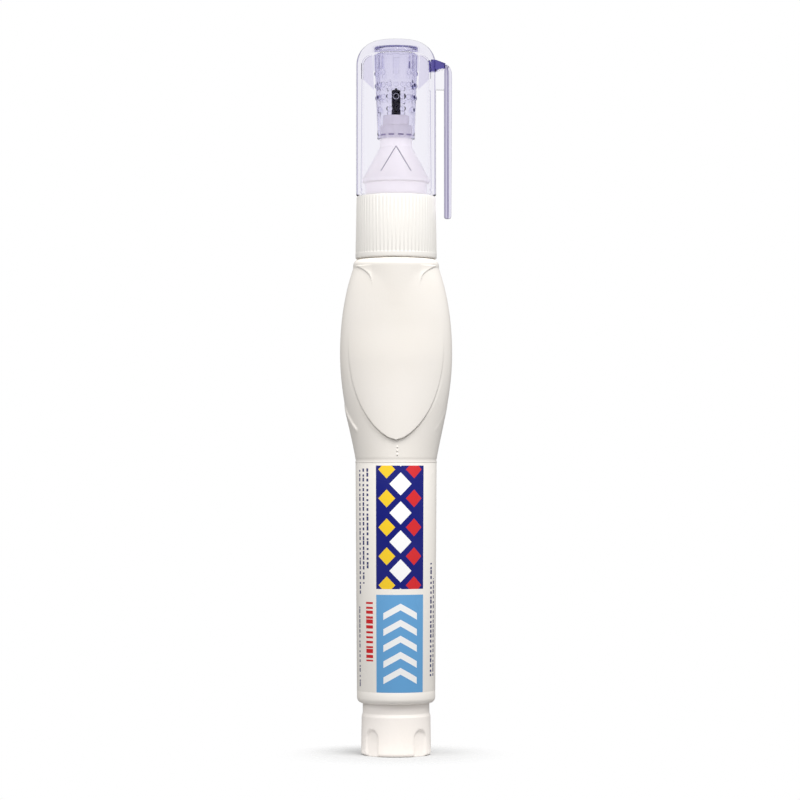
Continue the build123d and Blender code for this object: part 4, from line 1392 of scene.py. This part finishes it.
fill(ink, film.inputs["Base Color"], blend(ink, worn, colour, PRINT_WHITE))
film.inputs["Specular IOR Level"].default_value = FILM_SHINE

label = make_piece("wrap_label", label_points, label_faces, label_print)
label_map = label.data.uv_layers.new(name="wrap")
for loop in label.data.loops:
    spot = label.data.vertices[loop.vertex_index].co / MM
    turn = np.arctan2(spot.x, -spot.y)
    label_map.data[loop.index].uv = (0.5 + turn / (2 * pi), (spot.z - Z_LABEL) / label_span)
stand_in(label, "pen", "label")

# %% [markdown]
# ## Clear cap
# The cap is clear: a turned cup with a round crown, a web that carries the clip's bar and two
# gussets inside. In clear plastic a hidden wall between two overlapping shapes would show, so the
# cup and the web are joined into one closed skin by a Boolean. The bar, its deeper root and the
# gussets only touch it, and each has its own depth of tint.

# %% Make the cap's cup
CAP_RADIUS = 7.85
CAP_WALL = 1.1
CAP_BORE = CAP_RADIUS - CAP_WALL
CAP_BORE_TOP = CAP_BORE - 0.25
CROWN_ROUND = 4.8
SOCKET_DEPTH = 1.2
CEILING_GAP = 0.03
SLEEVE_TOP_RADIUS = 4.3
SLEEVE_LOW_RADIUS = 3.62
SLEEVE_SOCKET = SLEEVE_TOP_RADIUS + PRESS_GAP
Z_ANNULUS = Z_CEILING - SOCKET_DEPTH
BEAD_Z = Z_COLLAR_TOP + 1.375
BEAD_HALF = 0.4
BEAD_PROUD = 0.07
BORE_ROUND = 1.9
CAP_EDGE = 0.2
CUP_ROW = 1.2

cup_outline = divide(round_corners([
    (0, Z_CROWN, 0),
    (CAP_RADIUS, Z_CROWN, CROWN_ROUND),
    (CAP_RADIUS, Z_CAP, CAP_EDGE),
    (CAP_BORE, Z_CAP, CAP_EDGE),
    (CAP_BORE, BEAD_Z - BEAD_HALF, CAP_EDGE),
    (CAP_BORE - BEAD_PROUD, BEAD_Z, CAP_EDGE),
    (CAP_BORE, BEAD_Z + BEAD_HALF, CAP_EDGE),
    (CAP_BORE, BEAD_Z + 0.8, CAP_EDGE),
    (CAP_BORE_TOP, Z_ANNULUS, BORE_ROUND),
    (SLEEVE_SOCKET, Z_ANNULUS, 0),
    (SLEEVE_SOCKET, Z_CEILING + CEILING_GAP, 0.12),
    (0, Z_CEILING + CEILING_GAP, 0),
], steps=10), CUP_ROW)
cap = turned("clear_cap", cup_outline, cap_clear, columns=160, closed=False)
print("cup:", len(cap.data.polygons), "faces")

# %% [markdown]
# The clip's bar is a row of stepped sections that round off at both ends. Two lines of painted
# shade run down its front, along its steps, in place of the light that the steps bend.

# %% Make the clip's bar
CLIP_INNER = CAP_RADIUS + 1.6
CLIP_OUTER = CLIP_INNER + 1.5
CLIP_TAPER = 0.12
CLIP_WIDTH = 3.6
CLIP_ROUND = 0.6
CLIP_STEP = 0.7
CLIP_STEP_DEPTH = 0.35
CLIP_LINES = (0.2, 0.70)
CLIP_LINE_WIDTH = 0.18
CLIP_END = foot_of("cap_shell")
BRIDGE_TOP = Z_CROWN - 3.8
BRIDGE_LOW = BRIDGE_TOP - 5.8
BRIDGE_ROOT = CAP_RADIUS - 0.8 * CAP_WALL
ROOT_LOW = BRIDGE_TOP - 1.8
CLIP_TOP = BRIDGE_TOP - 1.0
CLIP_TOP_ROUND = 2.1
CLIP_TOP_THIN = 0.2
CLIP_EDGE = 0.4
STEP_EDGE = 0.1
STEP_SLANT = 0.2


def clip_section(z):
    """Outline of the clip's bar at a height: a step runs along its front and its back."""
    taper = CLIP_TAPER * min(1.0, max(0.0, (BRIDGE_LOW - z) / (BRIDGE_LOW - CLIP_END)))
    thick = CLIP_OUTER - taper - CLIP_INNER
    half = CLIP_WIDTH / 2
    low = half - CLIP_STEP_DEPTH
    step_end = CLIP_STEP + STEP_SLANT
    return divide(round_corners([
        (0.0, half, CLIP_EDGE),
        (CLIP_STEP, half, STEP_EDGE),
        (step_end, low, STEP_EDGE),
        (thick, low, CLIP_EDGE),
        (thick, -low, CLIP_EDGE),
        (step_end, -low, STEP_EDGE),
        (CLIP_STEP, -half, STEP_EDGE),
        (0.0, -half, CLIP_EDGE),
    ]), 0.1, closed=True)


def clip_ring(z, shrink, share):
    """One ring of the bar, shrunk about its middle at the foot and cut back outside at the top."""
    across, deep = np.transpose(clip_section(z))
    middle = np.max(across) / 2
    x = CLIP_INNER + (middle + (across - middle) * shrink) * share
    return np.stack([x, deep * shrink, np.full_like(deep, z)], axis=1)


foot_turn = np.linspace(0.05, pi / 2, 9)
top_turn = np.linspace(0, pi / 2, 12)[1:]
straight = np.linspace(CLIP_END + CLIP_ROUND, CLIP_TOP - CLIP_TOP_ROUND, 16)[1:]
clip_levels = [(CLIP_END + CLIP_ROUND * (1 - cos(t)), sin(t) ** 0.5, 1.0) for t in foot_turn]
clip_levels += [(z, 1.0, 1.0) for z in straight]
for t in top_turn:
    share = CLIP_TOP_THIN + (1 - CLIP_TOP_THIN) * cos(t)
    clip_levels.append((CLIP_TOP - CLIP_TOP_ROUND * (1 - sin(t)), 1.0, share))
clip_rings = [clip_ring(*level) for level in clip_levels]
clip_points, clip_faces = skin_rings(clip_rings)
close_ends(clip_points, clip_faces, len(clip_rings[0]))
clip = make_piece("pocket_clip", clip_points, clip_faces, clip_clear, sharp=50)
# The two lines down the front are painted shade, stored on the points for the material.
clip_across = np.concatenate([np.transpose(clip_section(z))[0] for z, shrink, share in clip_levels])
from_lines = [(clip_across - place) / CLIP_LINE_WIDTH for place in CLIP_LINES]
store_lines(clip, sum(np.exp(-(away**2)) for away in from_lines))
print("clip:", len(clip.data.polygons), "faces")

# %% [markdown]
# The web, the root and the gussets are flat outlines pulled out sideways to their thickness. The
# edges of the web and the root are bevelled.


# %% Make the web, the root and the gussets
def slab(name, outline, thickness, rounding, material):
    """An outline in the XZ plane pulled out both ways along Y, with its long edges rounded."""
    builder = bmesh.new()
    front = [builder.verts.new(Vector((x, -thickness / 2, z)) * MM) for x, z in outline]
    back = [builder.verts.new(Vector((x, thickness / 2, z)) * MM) for x, z in outline]
    builder.faces.new(front)
    builder.faces.new(back[::-1])
    total = len(outline)
    for i in range(total):
        j = (i + 1) % total
        builder.faces.new((front[j], front[i], back[i], back[j]))
    rims = [e for e in builder.edges if abs(e.verts[0].co.y - e.verts[1].co.y) < 1e-9]
    if rounding:
        bevel(builder, rims, rounding, segments=4)
    return built(name, builder, material)


def sleeve_radius(z):
    """Outer radius of the tapered sleeve at a height."""
    share = (z - Z_SLEEVE) / (Z_CEILING - Z_SLEEVE)
    return SLEEVE_LOW_RADIUS + (SLEEVE_TOP_RADIUS - SLEEVE_LOW_RADIUS) * share


TOUCH = 0.02
WEB_ROUND = 0.4
ROOT_ROUND = 0.3
ROOT_SINK = 0.05
ROOT_DROP = 0.5
ROOT_REACH = 0.25
ROOT_TOP = BRIDGE_TOP - ROOT_SINK
root_inner = CAP_BORE_TOP + ROOT_SINK
GUSSET_THICKNESS = 2.0
GUSSET_WALL_Z = Z_ANNULUS - 4.9
GUSSET_SLEEVE_Z = GUSSET_WALL_Z - 2.0
NUB_GAP = 0.35

web = slab("web", [
    (BRIDGE_ROOT, BRIDGE_LOW),
    (CLIP_INNER + TOUCH, BRIDGE_LOW),
    (CLIP_INNER + TOUCH, ROOT_LOW),
    (BRIDGE_ROOT, ROOT_LOW),
], CLIP_WIDTH - 0.4, WEB_ROUND, cap_clear)
root = slab("clip_root", [
    (root_inner, ROOT_LOW - ROOT_DROP),
    (CAP_RADIUS, ROOT_LOW - ROOT_DROP),
    (CAP_RADIUS + 0.5, ROOT_LOW + TOUCH),
    (CLIP_INNER + ROOT_REACH, ROOT_LOW + TOUCH),
    (CLIP_INNER + ROOT_REACH, BRIDGE_TOP - 0.75),
    (CAP_RADIUS, ROOT_TOP),
    (root_inner, ROOT_TOP),
], CLIP_WIDTH - 0.6, ROOT_ROUND, root_clear)
gusset = slab("gussets", [
    (sleeve_radius(GUSSET_SLEEVE_Z) + NUB_GAP, GUSSET_SLEEVE_Z),
    (CAP_BORE_TOP, GUSSET_WALL_Z),
    (CAP_BORE_TOP - TOUCH, Z_ANNULUS - BORE_ROUND),
    (CAP_BORE_TOP - 0.5, Z_ANNULUS - 0.75),
    (CAP_BORE_TOP - 1.3, Z_ANNULUS - 0.12),
    (SLEEVE_SOCKET + NUB_GAP, Z_ANNULUS - TOUCH),
], GUSSET_THICKNESS, 0.0, gusset_clear)
repeat_in_ring(gusset, gusset_clear, 2)


def unite(piece, *others):
    """Join other closed shapes to a piece with Booleans, and remove them."""
    for other in others:
        modifier = piece.modifiers.new("unite", "BOOLEAN")
        modifier.operation = "UNION"
        modifier.solver = "EXACT"
        modifier.object = other
    bake(piece)
    for other in others:
        bpy.data.objects.remove(other)
    soften(piece.data, 35)


unite(cap, web)
stand_in(cap, "cap", "cap_shell")
for extra in (clip, root, gusset):
    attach(extra, "cap")

# %% [markdown]
# ## Sealing sleeve
# Inside the cap a thimble closes on the nozzle's nose. It has a lip at its foot, eight short ribs
# under the crown and two sets of round nubs in rows, which the ring tree places down its taper.

# %% Make the sleeve
SLEEVE_LIP = SLEEVE_LOW_RADIUS + 0.1
SLEEVE_LIP_TOP = Z_SLEEVE + 1.7
SLEEVE_SEAL_TOP = Z_SLEEVE + 2.2
SLEEVE_BORE = NOSE_RADIUS + 0.1
SLEEVE_WALL = 0.9
LIP_GROOVE_Z = Z_SLEEVE + 0.65
LIP_GROOVE_DEPTH = 0.08
LIP_DASH = 30
LIP_GROOVE_HALF = 0.08
LIP_GROOVE_SLOPE = 0.22
LIP_DASH_GAP = 5
SLEEVE_RIBS = 8
SLEEVE_RIB_WIDTH = 1.3
SLEEVE_RIB_PROUD = 0.3
RIB_FOOT = Z_ANNULUS - 3.2
NUB_RADIUS = 0.62
NUB_PROUD = 0.2
NUB_PITCH = 2.4
NUB_ROWS = 3
inner_top = Z_CEILING - 0.3
inner_top_radius = sleeve_radius(inner_top) - SLEEVE_WALL

sleeve_outline = divide(round_corners([
    (0, Z_CEILING, 0),
    (SLEEVE_TOP_RADIUS, Z_CEILING, 0.4),
    (sleeve_radius(SLEEVE_LIP_TOP), SLEEVE_LIP_TOP, 0.05),
    (SLEEVE_LIP, SLEEVE_LIP_TOP, 0.05),
    (SLEEVE_LIP, LIP_GROOVE_Z + LIP_GROOVE_SLOPE, 0),
    (SLEEVE_LIP - LIP_GROOVE_DEPTH, LIP_GROOVE_Z + LIP_GROOVE_HALF, 0),
    (SLEEVE_LIP - LIP_GROOVE_DEPTH, LIP_GROOVE_Z - LIP_GROOVE_HALF, 0),
    (SLEEVE_LIP, LIP_GROOVE_Z - LIP_GROOVE_SLOPE, 0),
    (SLEEVE_LIP, Z_SLEEVE, 0.15),
    (SLEEVE_BORE, Z_SLEEVE, 0.12),
    (SLEEVE_BORE, SLEEVE_SEAL_TOP, 0.3),
    (inner_top_radius, inner_top, 0.5),
    (0, inner_top, 0),
], steps=8), CUP_ROW)
sleeve = turned("seal_sleeve", sleeve_outline, sleeve_clear, columns=144, closed=False)
rib_radius = sleeve_radius(RIB_FOOT) + SLEEVE_RIB_PROUD
rib_body = SLEEVE_RIB_PROUD + SLEEVE_WALL / 2
rib_ends = (RIB_FOOT, Z_ANNULUS - TOUCH)
sleeve_ribs = rounded_bar(
    "sleeve_ribs", SLEEVE_RIB_WIDTH, rib_body, *rib_ends, 0.0, 0.1, sleeve_clear
)
repeat_in_ring(sleeve_ribs, sleeve_clear, SLEEVE_RIBS, rib_radius, FRONT)
slope = (SLEEVE_TOP_RADIUS - SLEEVE_LOW_RADIUS) / (Z_CEILING - Z_SLEEVE)
nub_sets = []
for column_set in range(2):
    nubs = ball("nubs", NUB_RADIUS, 24, 14)
    first = RIB_FOOT - NUB_RADIUS - column_set * NUB_PITCH
    place = sleeve_radius(first) + NUB_PROUD - NUB_RADIUS
    start = FRONT + column_set * pi / SLEEVE_RIBS
    repeat_in_ring(
        nubs, sleeve_clear, SLEEVE_RIBS, place, start, NUB_ROWS, first, -NUB_PITCH, slope
    )
    nub_sets.append(nubs)
unite(sleeve, sleeve_ribs, *nub_sets)


def in_dash(point):
    """1 on the dashes of painted shade along the floor of the lip's groove, else 0."""
    x, y, z = point / MM
    turn = np.degrees(np.arctan2(x, -y)) % LIP_DASH
    on_level = abs(z - LIP_GROOVE_Z) < 0.1
    on_floor = abs(np.hypot(x, y) - SLEEVE_LIP + LIP_GROOVE_DEPTH) < 0.02
    return float(on_level and on_floor and LIP_DASH_GAP < turn < LIP_DASH - LIP_DASH_GAP)


# The dashes in the lip's groove are painted shade.
store_lines(sleeve, [in_dash(vertex.co) for vertex in sleeve.data.vertices])
stand_in(sleeve, "cap", "cap_sleeve")

# %% [markdown]
# ## Parts that stay as packed
# The spring's retainer and the mixing ball are out of sight inside the pen. Their CAD shapes are
# right, so they only get a finish.

# %% Finish the hidden parts
for node, material in (("spring_retainer", retainer_white), ("mixing_ball", ball_steel)):
    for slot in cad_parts[node].material_slots:
        slot.material = material
    print(node, "has", material.name)
